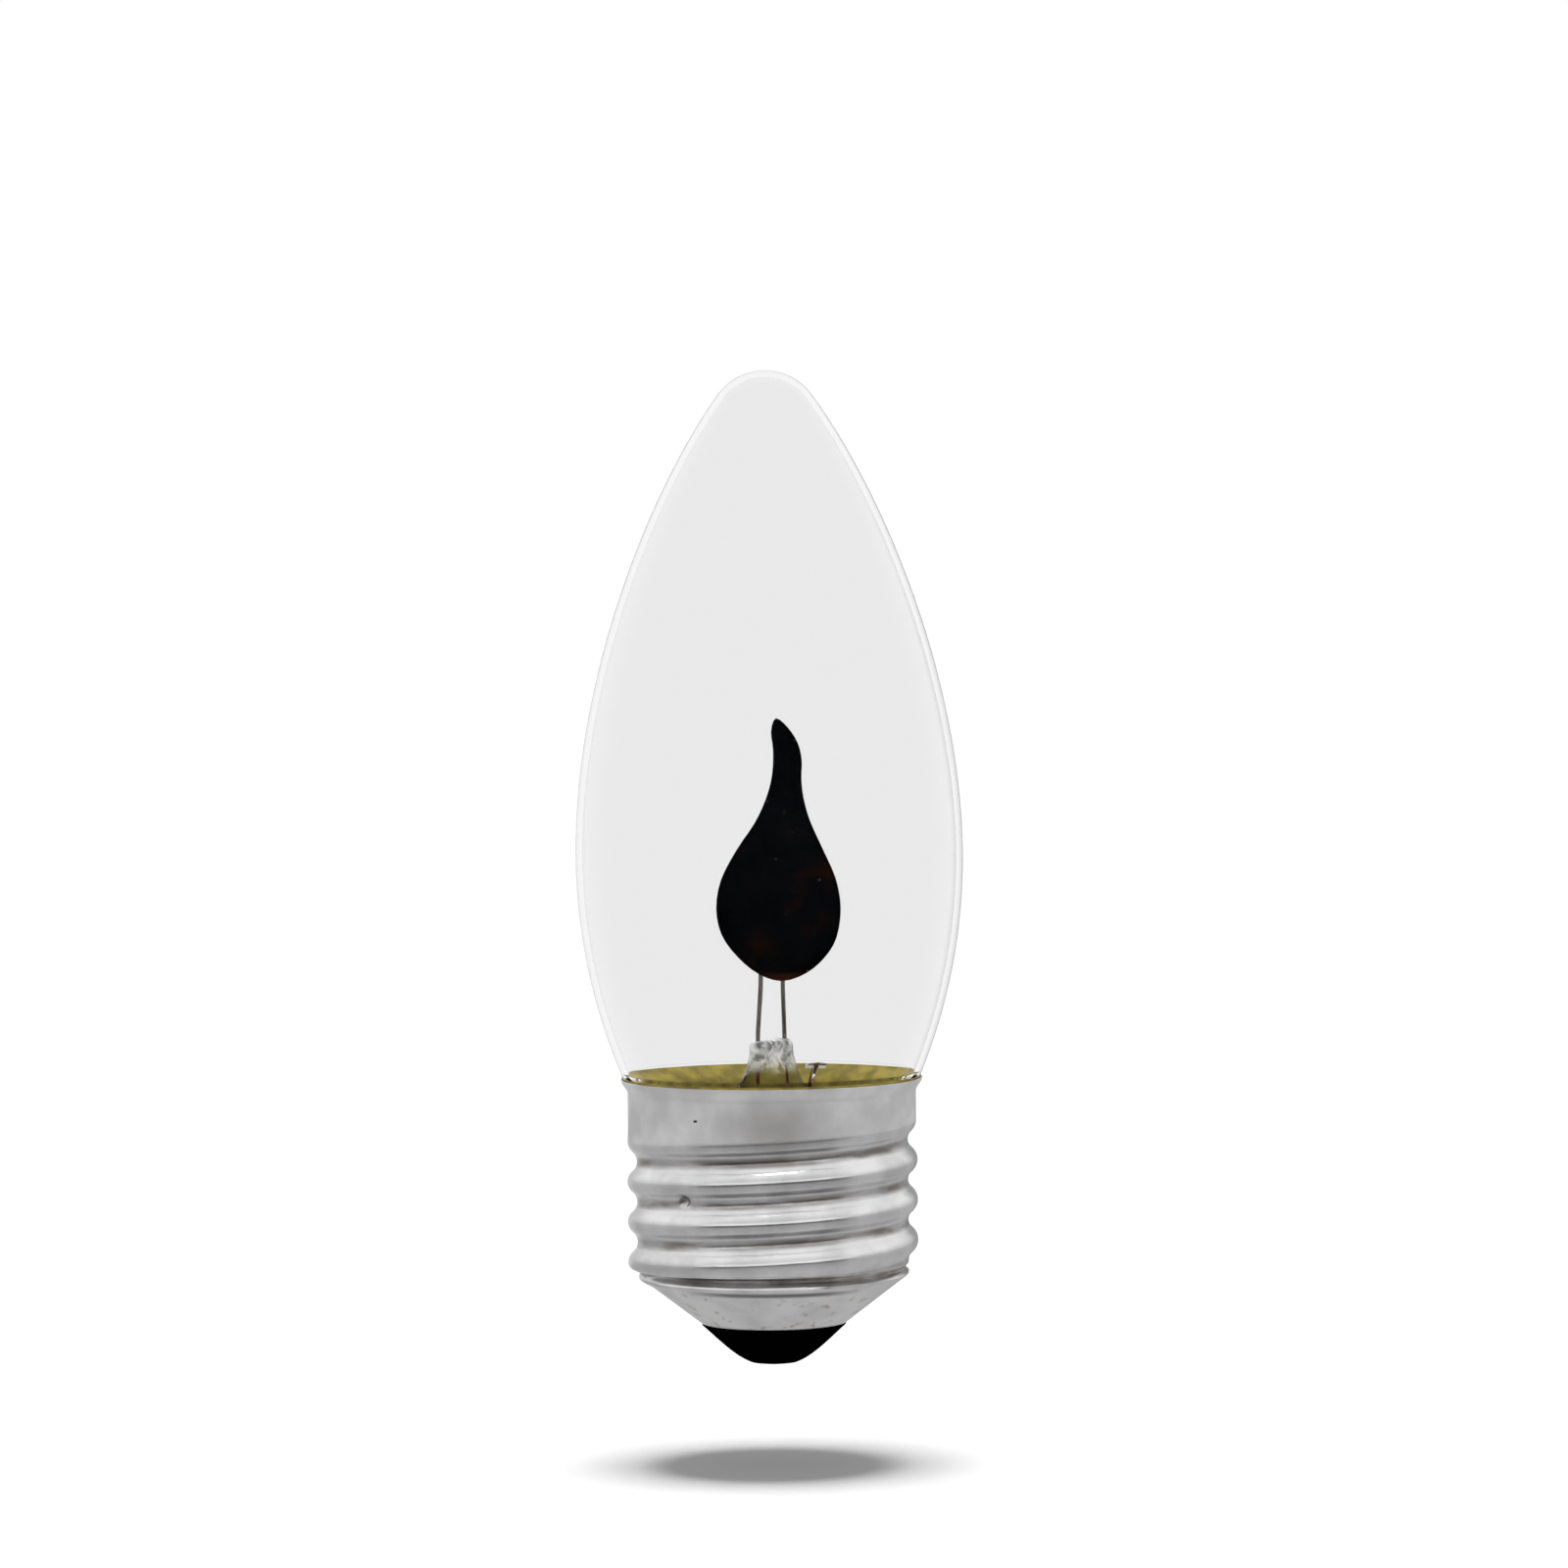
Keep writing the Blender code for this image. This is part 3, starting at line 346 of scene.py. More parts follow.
def finish_piece(piece, surface, slot, *nodes, angle=SHARP_ANGLE):
    """Gives a piece its shading, its material and its place in the frame."""
    smooth_shade(piece, angle)
    piece.data.materials.clear()
    piece.data.materials.append(surface)
    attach(piece, "root")
    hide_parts(*nodes)


def copy_of_node(node, name):
    """A merged copy of a CAD node's mesh, to be finished as a piece."""
    bpy.ops.object.select_all(action="DESELECT")
    piece = frame["nodes"][node].copy()
    piece.data = piece.data.copy()
    for key in list(piece.keys()):
        del piece[key]
    piece.parent = None
    piece.name = name
    piece.data.name = name
    bpy.context.collection.objects.link(piece)
    piece.hide_render = False
    piece.select_set(True)
    bpy.context.view_layer.objects.active = piece
    bpy.ops.object.mode_set(mode="EDIT")
    bpy.ops.mesh.select_all(action="SELECT")
    bpy.ops.mesh.remove_doubles(threshold=MERGE_DISTANCE)
    bpy.ops.mesh.dissolve_limited(angle_limit=math.radians(1))
    bpy.ops.object.mode_set(mode="OBJECT")
    return piece


# Shapes


def groove_depth(turn_share):
    """Share of the thread's depth, 0 on a crest and 1 at the root, from two tangent arcs."""
    arc = ((THREAD_PITCH / 2) ** 2 + THREAD_DEPTH**2) / (4 * THREAD_DEPTH)
    from_crest = THREAD_PITCH * min(turn_share, 1.0 - turn_share)
    if from_crest <= THREAD_PITCH / 4:
        return (arc - math.sqrt(arc**2 - from_crest**2)) / THREAD_DEPTH
    return 1 - (arc - math.sqrt(arc**2 - (THREAD_PITCH / 2 - from_crest) ** 2)) / THREAD_DEPTH


def cone_radius(height):
    """Outer radius of the cone at the cap's foot."""
    return CONE_FOOT_RADIUS + (height - cone_foot_height) * cone_spread


def cap_radius(height, turn):
    """Outer radius of the rolled cap at a height and an angle from +X: cone, thread, collar and lip."""
    turns = (height - CREST_HEIGHT) / THREAD_PITCH - turn / TAU
    groove = math.floor(turns)
    climbed = groove + turn / TAU
    fade_out = smooth((RUNOUT_START_TURNS + RUNOUT_TURNS - climbed) / RUNOUT_TURNS)
    fade_in = smooth((height - THREAD_FOOT_HEIGHT) / THREAD_FOOT_FADE)
    wall = THREAD_RADIUS - COLLAR_STEP * smooth((height - CREST_HEIGHT) / THREAD_PITCH - RUNOUT_START_TURNS)
    cone = cone_radius(height)
    closeness = max(SOFT_EDGE - abs(wall - cone), 0.0) / SOFT_EDGE
    blank = min(wall, cone) - closeness**2 * SOFT_EDGE / 4
    pinched = PINCH_DEPTH * math.exp(-(((height - PINCH_HEIGHT) / PINCH_WIDTH) ** 2))
    bead = BEAD_RISE * math.exp(-(((height - BEAD_HEIGHT) / PINCH_WIDTH) ** 2))
    rolled = fade_out * groove_depth(turns - groove) * ((wall - root_radius) * fade_in + pinched - bead)
    lip = LIP_FLARE * smooth((height - rim_height + LIP_HEIGHT) / LIP_HEIGHT)
    return blank - rolled + lip


def envelope_outline(detail):
    """The envelope's outer outline from the tip to the neck's foot."""
    tip_centre = lamp_length - TIP_RADIUS
    outline = [(0.0, lamp_length)]
    arc_steps = 4 * detail
    for step in range(1, arc_steps):
        turn = math.pi / 2 - (math.pi / 2 - TIP_ARC_START) * step / arc_steps
        outline.append((TIP_RADIUS * math.cos(turn), tip_centre + TIP_RADIUS * math.sin(turn)))
    arc_end = (TIP_RADIUS * math.cos(TIP_ARC_START), tip_centre + TIP_RADIUS * math.sin(TIP_ARC_START))
    rise = arc_end[1] - WIDEST_HEIGHT
    reach = 0.27 * rise
    arc_handle = (arc_end[0] + reach * math.sin(TIP_ARC_START), arc_end[1] - reach * math.cos(TIP_ARC_START))
    widest = (bulb_radius, WIDEST_HEIGHT)
    outline += bezier(arc_end, arc_handle, (bulb_radius, WIDEST_HEIGHT + 0.37 * rise), widest, 7 * detail)
    shoulder = (shoulder_radius, shoulder_height)
    drop = WIDEST_HEIGHT - shoulder_height
    shoulder_handle = (
        shoulder_radius + 0.15 * drop * math.sin(SHOULDER_SLOPE),
        shoulder_height + 0.15 * drop * math.cos(SHOULDER_SLOPE),
    )
    widest_handle = (bulb_radius, WIDEST_HEIGHT - 0.5 * drop)
    outline += bezier(widest, widest_handle, shoulder_handle, shoulder, 5 * detail)
    turn_in = 0.13 * NECK_TOP_DEPTH
    under_shoulder = (
        shoulder_radius - turn_in * math.sin(SHOULDER_SLOPE),
        shoulder_height - turn_in * math.cos(SHOULDER_SLOPE),
    )
    neck_top = (neck_radius, rim_height - NECK_TOP_DEPTH)
    outline += bezier(shoulder, under_shoulder, (neck_radius, rim_height - turn_in), neck_top, 4 * detail)
    return outline + [neck_top, (neck_radius, neck_foot)]


def cement_outline():
    """The cement's closed outline: it fills the cap from the neck to the wall, up to just under the lip."""
    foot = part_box("basing_cement")[0].z
    top = rim_height - CEMENT_DROP
    brim = shoulder_height - CEMENT_CLEARANCE
    glass = [(r + CEMENT_CLEARANCE, h) for r, h in envelope_outline(GLASS_DETAIL) if foot < h < brim]
    outline = [(neck_radius + CEMENT_CLEARANCE, foot), *glass[::-1]]
    for widening, height in zip(CEMENT_BRIM, (brim, top)):
        outline.append((shoulder_radius + CEMENT_CLEARANCE + widening, height))
    for step in range(CEMENT_ROWS, -1, -1):
        height = foot + (top - foot) * step / CEMENT_ROWS
        lip = LIP_FLARE * smooth((height - rim_height + LIP_HEIGHT) / LIP_HEIGHT)
        groove = THREAD_DEPTH * smooth((foot + CEMENT_FOOT_TAPER - height) / CEMENT_FOOT_TAPER)
        outline.append((collar_radius - SHELL_WALL - groove + lip - CEMENT_CLEARANCE, height))
    return outline + outline[:1]


def stem_rings():
    """The stem's rings: down the outside of the press, tube and flare, and up the bore."""
    half_width = PRESS_WIDTH / 2
    half_thickness = PRESS_THICKNESS / 2
    widening = TUBE_RADIUS - half_width
    flare_radius = neck_radius - SEAT_GAP
    flare_top = neck_foot - SEAT_GAP
    tube_foot = flare_foot + FLARE_HEIGHT
    press_foot = press_top - PRESS_HEIGHT
    bore = TUBE_RADIUS - TUBE_WALL
    rings = [
        (half_width - 0.55 * half_thickness, 0.45 * half_thickness, press_top),
        (half_width - 0.15 * half_thickness, 0.85 * half_thickness, press_top - 0.12 * half_thickness),
        (half_width, half_thickness, press_top - 0.5 * half_thickness),
    ]
    for step in range(11):
        share = step / 10
        ease = smooth(share)
        thick = half_thickness + (TUBE_RADIUS - half_thickness) * ease
        rings.append((half_width + widening * share, thick, press_top - (0.14 + 0.86 * share) * PRESS_HEIGHT))
    rings.append((TUBE_RADIUS, TUBE_RADIUS, tube_foot))
    inner_rim = flare_radius - 0.35 * FLARE_RIM_THICKNESS
    shares = [step / 8 for step in range(1, 9)]
    for share in shares:
        radius = TUBE_RADIUS + (flare_radius - TUBE_RADIUS) * share**2.2
        rings.append((radius, radius, tube_foot + (flare_top - tube_foot) * (1 - (1 - share) ** 1.6)))
    rings.append((flare_radius, flare_radius, flare_foot))
    rings.append((inner_rim, inner_rim, flare_foot))
    for share in [0.0, *shares[:-1]][::-1]:
        radius = bore + (inner_rim - bore) * share**2.2
        height = tube_foot + (flare_top - tube_foot) * (1 - (1 - share) ** 1.6) - 0.8 * FLARE_RIM_THICKNESS
        rings.append((radius, radius, height))
    rings.append((bore, bore, press_foot - 0.3 * TUBE_WALL))
    rings.append((0.88 * bore, 0.88 * bore, press_foot + 0.5 * TUBE_WALL))
    rings.append((0.6 * bore, 0.6 * bore, press_foot + TUBE_WALL))
    return rings


def insulator_outline():
    """The insulator's closed outline: dish, flange, groove for the cap's edge, cone, seat and lead's hole."""
    edge_radius = CONE_FOOT_RADIUS - SHELL_WALL / cone_slant - SEAT_GAP
    edge_rise = (edge_radius + (SHELL_WALL + SEAT_GAP) * cone_slant - CONE_FOOT_RADIUS) / cone_spread
    edge_height = cone_foot_height + edge_rise
    flange_radius = edge_radius + FLANGE_OVERLAP
    flange_height = edge_height + FLANGE_OVERLAP / cone_spread
    dish_height = flange_height + FLANGE_THICKNESS
    seat_radius = CONTACT_RADIUS + SEAT_GAP
    seat_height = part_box("contact_plate")[1].z + SEAT_GAP
    foot = (INSULATOR_FOOT_RADIUS, INSULATOR_FOOT_HEIGHT)
    belly = bezier(
        (CONE_FOOT_RADIUS, cone_foot_height - SEAT_GAP),
        (0.815 * CONE_FOOT_RADIUS, 0.68 * cone_foot_height),
        (1.76 * INSULATOR_FOOT_RADIUS, INSULATOR_FOOT_HEIGHT + 0.16 * cone_foot_height),
        foot,
        20,
    )
    outline = [
        (0.5 * flange_radius, dish_height - 0.8 * DISH_DEPTH),
        (0.8 * flange_radius, dish_height - 0.25 * DISH_DEPTH),
        (flange_radius, dish_height),
        (flange_radius, flange_height),
        (edge_radius, edge_height),
        (edge_radius, cone_foot_height - SEAT_GAP),
        *belly,
        foot,
        (seat_radius, INSULATOR_FOOT_HEIGHT),
        (seat_radius, seat_height),
        (LEAD_HOLE_RADIUS, seat_height),
        (LEAD_HOLE_RADIUS, dish_height - DISH_DEPTH),
    ]
    return outline + outline[:1]


# Materials


def add_node(tree, kind, values=None, stops=None, **settings):
    """Adds a shader node with its settings; a value that is a node, or a node's output, is linked."""
    made = tree.nodes.new("ShaderNode" + kind)
    for name, value in settings.items():
        setattr(made, name, value)
    for name, value in (values or {}).items():
        if isinstance(value, bpy.types.Node):
            value = value.outputs[0]
        if isinstance(value, bpy.types.NodeSocket):
            tree.links.new(value, made.inputs[name])
        else:
            made.inputs[name].default_value = value
    if stops:
        ramp = made.color_ramp
        ramp.elements[0].position, ramp.elements[0].color = stops[0]
        ramp.elements[1].position, ramp.elements[1].color = stops[-1]
        for place, colour in stops[1:-1]:
            ramp.elements.new(place).color = colour
    return made


def new_material(name, **values):
    """A material with its shader's plain values, and the object coordinates for its patterns."""
    made = bpy.data.materials.new(name)
    made.use_nodes = True
    tree = made.node_tree
    shader = tree.nodes["Principled BSDF"]
    for socket, value in values.items():
        shader.inputs[socket.replace("_", " ")].default_value = value
    place = add_node(tree, "TexCoord").outputs["Object"]
    return made, tree, shader, place


def let_light_through(tree, shader, tint):
    """Lets the light pass a glass for shadow rays, so that what stands behind it is lit."""
    clear = add_node(tree, "BsdfTransparent", {"Color": tint})
    path = add_node(tree, "LightPath")
    mixed = add_node(tree, "MixShader", {0: path.outputs["Is Shadow Ray"], 1: shader, 2: clear})
    tree.links.new(mixed.outputs[0], tree.nodes["Material Output"].inputs["Surface"])


def blown_soda_glass(tint, edge_tint_and_shade):
    """Blown soda-lime glass: clear and slightly uneven, greyer at its outline where the wall is seen along
    its length, with painted shade there and a painted lighter band just inside it.

    The real index of 1.5 mirrors the studio over the black plates; 1.03 keeps them as dark as they look.
    """
    made, tree, shader, place = new_material(
        "blown_soda_glass", IOR=1.03, Roughness=0.0, Transmission_Weight=1.0
    )
    facing = add_node(tree, "LayerWeight", {"Blend": 0.5})
    # Painted lighter band just inside the outline, and painted shade at the outline itself
    tint_and_painted_edge = add_node(
        tree,
        "ValToRGB",
        {"Fac": facing.outputs["Facing"]},
        stops=[(0.0, tint), (0.45, tint), (0.76, shaded(tint, 1.03)), (0.84, tint), (1.0, edge_tint_and_shade)],
    )
    # Painted shade: the outline is darker towards +X, the lamp's right side, as if the light came from the
    # left
    across = add_node(tree, "SeparateXYZ", {0: place}).outputs["X"]
    away = add_node(tree, "MapRange", {"Value": across, "From Min": 0.0, "From Max": 17 * MM, "To Max": 1.0})
    outline = add_node(
        tree,
        "ValToRGB",
        {"Fac": facing.outputs["Facing"]},
        stops=[(0.0, grey(1.0)), (0.76, grey(1.0)), (0.9, grey(0.72)), (1.0, grey(0.4))],
    )
    darker = add_node(tree, "Mix", {0: away, 6: tint_and_painted_edge, 7: outline}, data_type="RGBA", blend_type="MULTIPLY")
    tree.links.new(darker.outputs[2], shader.inputs["Base Color"])
    # The mould's slow waves, about 9 mm from one to the next
    waves = add_node(tree, "TexNoise", {"Vector": place, "Scale": per_mm(9), "Detail": 1.0})
    bump = add_node(tree, "Bump", {"Strength": 0.05, "Distance": 0.1 * MM, "Height": waves})
    tree.links.new(bump.outputs[0], shader.inputs["Normal"])
    let_light_through(tree, shader, tint)
    return made


def pressed_lead_glass(tint, edge_tint_and_shade):
    """Lead glass pinched while soft: thick and clear, with painted shade where it turns away, and a painted
    milky reflection with painted dark lines where it was pinched.

    Its index is kept low for the same reason as the envelope's, 1.07 instead of 1.56.
    """
    made, tree, shader, place = new_material(
        "pressed_lead_glass", IOR=1.07, Roughness=0.02, Transmission_Weight=1.0
    )
    facing = add_node(tree, "LayerWeight", {"Blend": 0.5})
    # Painted shade where the thick glass turns away from view
    tint_and_painted_edge = add_node(
        tree,
        "ValToRGB",
        {"Fac": facing.outputs["Facing"]},
        stops=[(0.0, tint), (0.40, tint), (0.80, shaded(tint, 0.45)), (1.0, edge_tint_and_shade)],
    )
    tree.links.new(tint_and_painted_edge.outputs[0], shader.inputs["Base Color"])
    # The tongs' dents, about 1.5 mm across
    dents = add_node(tree, "TexNoise", {"Vector": place, "Scale": per_mm(1.5), "Detail": 1.0})
    bump = add_node(tree, "Bump", {"Strength": 0.8, "Distance": 0.15 * MM, "Height": dents})
    tree.links.new(bump.outputs[0], shader.inputs["Normal"])
    # Over the pinched head, painted reflection and painted shade: milky white folds with dark lines between
    # them, about 1 mm apart
    folds = add_node(
        tree, "TexNoise", {"Vector": place, "Scale": per_mm(1.1), "Detail": 2.0, "Distortion": 0.6}
    )
    painted_fold_light_and_shade = add_node(
        tree,
        "ValToRGB",
        {"Fac": folds},
        stops=[(0.38, shaded(tint, 0.2)), (0.48, shaded(tint, 0.7)), (0.62, grey(1.0))],
    )
    skin = add_node(tree, "BsdfDiffuse", {"Color": painted_fold_light_and_shade})
    height = add_node(tree, "SeparateXYZ", {0: place}).outputs["Z"]
    head = add_node(
        tree,
        "MapRange",
        {"Value": height, "From Min": press_top - 3.0 * MM, "From Max": press_top - 1.6 * MM, "To Max": 0.7},
    )
    glass_and_painted_head = add_node(tree, "MixShader", {0: head, 1: shader, 2: skin})
    let_light_through(tree, glass_and_painted_head, tint)
    return made


def rolled_aluminium(colour, grime_and_shade, rust):
    """Aluminium sheet, drawn and thread-rolled: dull oxidised collar, burnished thread, spotted cone."""
    made, tree, shader, place = new_material("rolled_aluminium")
    height = add_node(tree, "SeparateXYZ", {0: place}).outputs["Z"]
    across = add_node(tree, "VectorMath", {0: place, 1: (1, 1, 0)}, operation="MULTIPLY")
    radius = add_node(tree, "VectorMath", {0: across}, operation="LENGTH").outputs["Value"]
    # Grime and painted shade in the roots of the thread, in streaks about 5 mm long
    root_grime_and_shade = add_node(tree, "MapRange", {0: radius, 1: root_radius + 0.14 * MM, 2: root_radius + 0.02 * MM})
    above_cone = add_node(tree, "MapRange", {0: height, 1: CONE_TOP_HEIGHT, 2: CONE_TOP_HEIGHT + 0.3 * MM})
    root_grime_and_shade = add_node(tree, "Math", {0: root_grime_and_shade, 1: above_cone}, operation="MULTIPLY")
    streaks = add_node(tree, "VectorMath", {0: place, 1: (1, 1, 4)}, operation="MULTIPLY")
    patches = add_node(tree, "TexNoise", {"Vector": streaks, "Scale": per_mm(5), "Detail": 3.0})
    patchy = add_node(tree, "MapRange", {0: patches, 1: 0.40, 2: 0.62, 3: 0.30, 4: 0.85})
    grime_and_root_shade = add_node(tree, "Math", {0: root_grime_and_shade, 1: patchy}, operation="MULTIPLY")
    # Painted shade: a dark line in the crease under the lowest groove, at the front only
    painted_crease_shade = add_node(tree, "Math", {0: height, 1: PAINTED_CREASE_HEIGHT}, operation="SUBTRACT")
    painted_crease_shade = add_node(tree, "Math", {0: painted_crease_shade}, operation="ABSOLUTE")
    painted_crease_shade = add_node(tree, "MapRange", {0: painted_crease_shade, 1: 0.32 * MM, 2: 0.08 * MM})
    at_front = add_node(tree, "SeparateXYZ", {0: place}).outputs["Y"]
    at_front = add_node(tree, "MapRange", {0: at_front, 1: -8.0 * MM, 2: -10.5 * MM, 3: 0.0, 4: 0.8})
    painted_crease_shade = add_node(tree, "Math", {0: painted_crease_shade, 1: at_front}, operation="MULTIPLY")
    # Rusty spots about half a millimetre across, on the cone only
    spots = add_node(tree, "TexNoise", {"Vector": place, "Scale": per_mm(1.1), "Detail": 3.0})
    spotted = add_node(tree, "MapRange", {0: spots, 1: 0.60, 2: 0.70, 3: 0.0, 4: 0.55})
    on_cone = add_node(tree, "MapRange", {0: height, 1: CONE_TOP_HEIGHT, 2: CONE_TOP_HEIGHT - 1.5 * MM})
    spotted = add_node(tree, "Math", {0: spotted, 1: on_cone}, operation="MULTIPLY")
    # One black speck of dirt on the collar, painted shade in the dent, and a painted dark reflection across
    # the front of the collar
    marks = []
    for spot, reach, core in ((SPECK_PLACE, 0.26, 0.14), (DENT_PLACE, 0.78, 0.48), (DARK_REFLECTION_PLACE, 6.5, 1.0)):
        apart = add_node(tree, "VectorMath", {0: place, 1: spot}, operation="SUBTRACT")
        apart = add_node(tree, "VectorMath", {0: apart, 1: (1, 1, 1.8)}, operation="MULTIPLY")
        apart = add_node(tree, "VectorMath", {0: apart}, operation="LENGTH")
        near = add_node(tree, "MapRange", {0: apart.outputs["Value"], 1: reach * MM, 2: core * MM})
        marks.append(near)
    speck, dent, painted_reflection = marks
    painted_reflection = add_node(tree, "Math", {0: painted_reflection, 1: 0.45}, operation="MULTIPLY")
    # Cloudy oxide, up to a fifth darker, over 4 mm
    clouds = add_node(tree, "TexNoise", {"Vector": place, "Scale": per_mm(4), "Detail": 4.0})
    base = add_node(tree, "ValToRGB", {"Fac": clouds}, stops=[(0.35, shaded(colour, 0.80)), (0.62, colour)])
    black = shaded(grime_and_shade, 0.08)
    # In order: grime with painted root shade, painted crease shade, rust, painted reflection, painted dent
    # shade, a speck of dirt
    shares = (grime_and_root_shade, painted_crease_shade, spotted, painted_reflection, dent, speck)
    for share, stain in zip(shares, (grime_and_shade, black, rust, grime_and_shade, black, black)):
        base = add_node(tree, "Mix", {0: share, 6: base, 7: stain}, data_type="RGBA").outputs[2]
    tree.links.new(base, shader.inputs["Base Color"])
    # The rollers stop at the collar along the thread's own helix
    axes = add_node(tree, "SeparateXYZ", {0: place})
    turn = add_node(tree, "Math", {0: axes.outputs["Y"], 1: axes.outputs["X"]}, operation="ARCTAN2")
    turn = add_node(tree, "Math", {0: turn, 1: THREAD_PITCH / TAU}, operation="MULTIPLY")
    turn = add_node(tree, "Math", {0: turn, 1: 0.35 * MM}, operation="MINIMUM")
    above = add_node(tree, "Math", {0: height, 1: turn}, operation="SUBTRACT")
    collar_foot = CREST_HEIGHT + COLLAR_FOOT_TURNS * THREAD_PITCH
    on_collar = add_node(tree, "MapRange", {0: above, 1: collar_foot, 2: collar_foot + 0.35 * MM})
    bare = add_node(tree, "MapRange", {0: on_collar, 3: 0.95, 4: 0.70})
    tree.links.new(bare.outputs[0], shader.inputs["Metallic"])
    gloss = add_node(tree, "MapRange", {0: on_collar, 3: 0.17, 4: 0.50})
    dulled = add_node(tree, "MapRange", {0: on_cone, 3: 0.0, 4: 0.10})
    gloss = add_node(tree, "Math", {0: gloss, 1: dulled})
    tree.links.new(gloss.outputs[0], shader.inputs["Roughness"])
    # The rollers' marks run around the cap; they are some 0.05 mm apart and are drawn three times as coarse
    lines = add_node(tree, "VectorMath", {0: place, 1: (1, 1, 12)}, operation="MULTIPLY")
    rolled = add_node(tree, "TexNoise", {"Vector": lines, "Scale": per_mm(2), "Detail": 2.0})
    bump = add_node(tree, "Bump", {"Strength": 0.15, "Distance": 0.04 * MM, "Height": rolled})
    tree.links.new(bump.outputs[0], shader.inputs["Normal"])
    return made


def blackened_iron_sheet(colour, edge_colour):
    """Iron sheet with a baked black coating: matt, faintly blue and cloudy, browner at its lower edge."""
    made, tree, shader, place = new_material("blackened_iron_sheet", Roughness=0.75, Specular_IOR_Level=0.0)
    clouds = add_node(tree, "TexNoise", {"Vector": place, "Scale": per_mm(2.4), "Detail": 4.0})
    coat = add_node(
        tree,
        "ValToRGB",
        {"Fac": clouds},
        stops=[(0.38, shaded(colour, 0.6)), (0.58, colour), (0.75, shaded(edge_colour, 0.16))],
    )
    height = add_node(tree, "SeparateXYZ", {0: place}).outputs["Z"]
    flame_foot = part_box("front_electrode")[0].z
    low = add_node(tree, "MapRange", {0: height, 1: flame_foot + 0.9 * MM, 2: flame_foot, 3: 0.0, 4: 0.7})
    # Grit of half a millimetre, a few grains of it worn bare
    grit = add_node(tree, "TexNoise", {"Vector": place, "Scale": per_mm(0.5), "Detail": 2.0})
    bare = add_node(tree, "MapRange", {0: grit, 1: 0.72, 2: 0.78, 3: 0.0, 4: 0.5})
    for share, stain in ((low, edge_colour), (bare, linear("#6A6A6C"))):
        coat = add_node(tree, "Mix", {0: share, 6: coat, 7: stain}, data_type="RGBA").outputs[2]
    tree.links.new(coat, shader.inputs["Base Color"])
    bump = add_node(tree, "Bump", {"Strength": 0.3, "Distance": 0.02 * MM, "Height": grit})
    tree.links.new(bump.outputs[0], shader.inputs["Normal"])
    return made


def mottled(name, colour, feature, roughness, depth, grain=0.2, shade=0.75, **values):
    """A surface that wanders between two close shades, with a fine grain in its gloss and height.

    The shades change over so many millimetres, the feature; the grain is in millimetres too.
    """
    made, tree, shader, place = new_material(name, **values)
    clouds = add_node(tree, "TexNoise", {"Vector": place, "Scale": per_mm(feature), "Detail": 4.0})
    tone = add_node(tree, "ValToRGB", {"Fac": clouds}, stops=[(0.38, shaded(colour, shade)), (0.62, colour)])
    tree.links.new(tone.outputs[0], shader.inputs["Base Color"])
    fine = add_node(tree, "TexNoise", {"Vector": place, "Scale": per_mm(grain), "Detail": 3.0})
    gloss = add_node(
        tree, "MapRange", {0: fine, 1: 0.3, 2: 0.7, 3: 0.85 * roughness, 4: min(1.0, 1.15 * roughness)}
    )
    tree.links.new(gloss.outputs[0], shader.inputs["Roughness"])
    bump = add_node(tree, "Bump", {"Strength": 0.6, "Distance": depth, "Height": fine})
    tree.links.new(bump.outputs[0], shader.inputs["Normal"])
    return made


# Settings a user would change


class LampColours(bpy.types.PropertyGroup):
    """Colours of the lamp's materials."""

    aluminium: FloatVectorProperty(
        name="Aluminium", description="The cap's sheet", subtype="COLOR", size=4, default=linear("#E9E9EA")
    )
    plate: FloatVectorProperty(
        name="Flame plates",
        description="Their black coating",
        subtype="COLOR",
        size=4,
        default=linear("#090A0D"),
    )
    cement: FloatVectorProperty(
        name="Cement", description="The ring in the cap", subtype="COLOR", size=4, default=linear("#9A8A3E")
    )
    glass: FloatVectorProperty(
        name="Glass", description="The envelope's tint", subtype="COLOR", size=4, default=linear("#F4F4F4")
    )
    insulator: FloatVectorProperty(
        name="Insulator", description="The black glass", subtype="COLOR", size=4, default=linear("#010101")
    )


class LampSizes(bpy.types.PropertyGroup):
    """Sizes of the lamp's sheet and glass."""

    glass_wall: FloatProperty(
        name="Glass wall", description="Thickness of the envelope", unit="LENGTH", default=0.60 * MM
    )
    cap_wall: FloatProperty(
        name="Cap wall", description="Thickness of the cap's sheet", unit="LENGTH", default=SHELL_WALL
    )
    plate_edge: FloatProperty(
        name="Plate edge", description="Rounding of the plates' edges", unit="LENGTH", default=0.04 * MM
    )
    dent_depth: FloatProperty(
        name="Dent", description="Depth of the knock in the thread", unit="LENGTH", default=0.75 * MM
    )


class LampStage(bpy.types.PropertyGroup):
    """Floor, light and camera."""

    floor_height: FloatProperty(
        name="Floor", description="Height of the floor below the contact", unit="LENGTH", default=-9.3 * MM
    )
    camera_distance: FloatProperty(
        name="Camera distance", description="From the lamp's axis", unit="LENGTH", default=580 * MM
    )
    camera_height: FloatProperty(
        name="Camera height", description="Above the contact", unit="LENGTH", default=73 * MM
    )
    camera_lens: FloatProperty(name="Lens", description="Focal length in mm", default=148.0, min=10.0)
    camera_roll: FloatProperty(
        name="Roll", description="The camera's tilt to one side", subtype="ANGLE", default=math.radians(-0.6)
    )
    sun_strength: FloatProperty(
        name="Top light", description="Strength of the light above", default=2.6, min=0.0
    )
    sky_strength: FloatProperty(
        name="Sky", description="Strength of the light all around", default=0.35, min=0.0
    )


# Operators


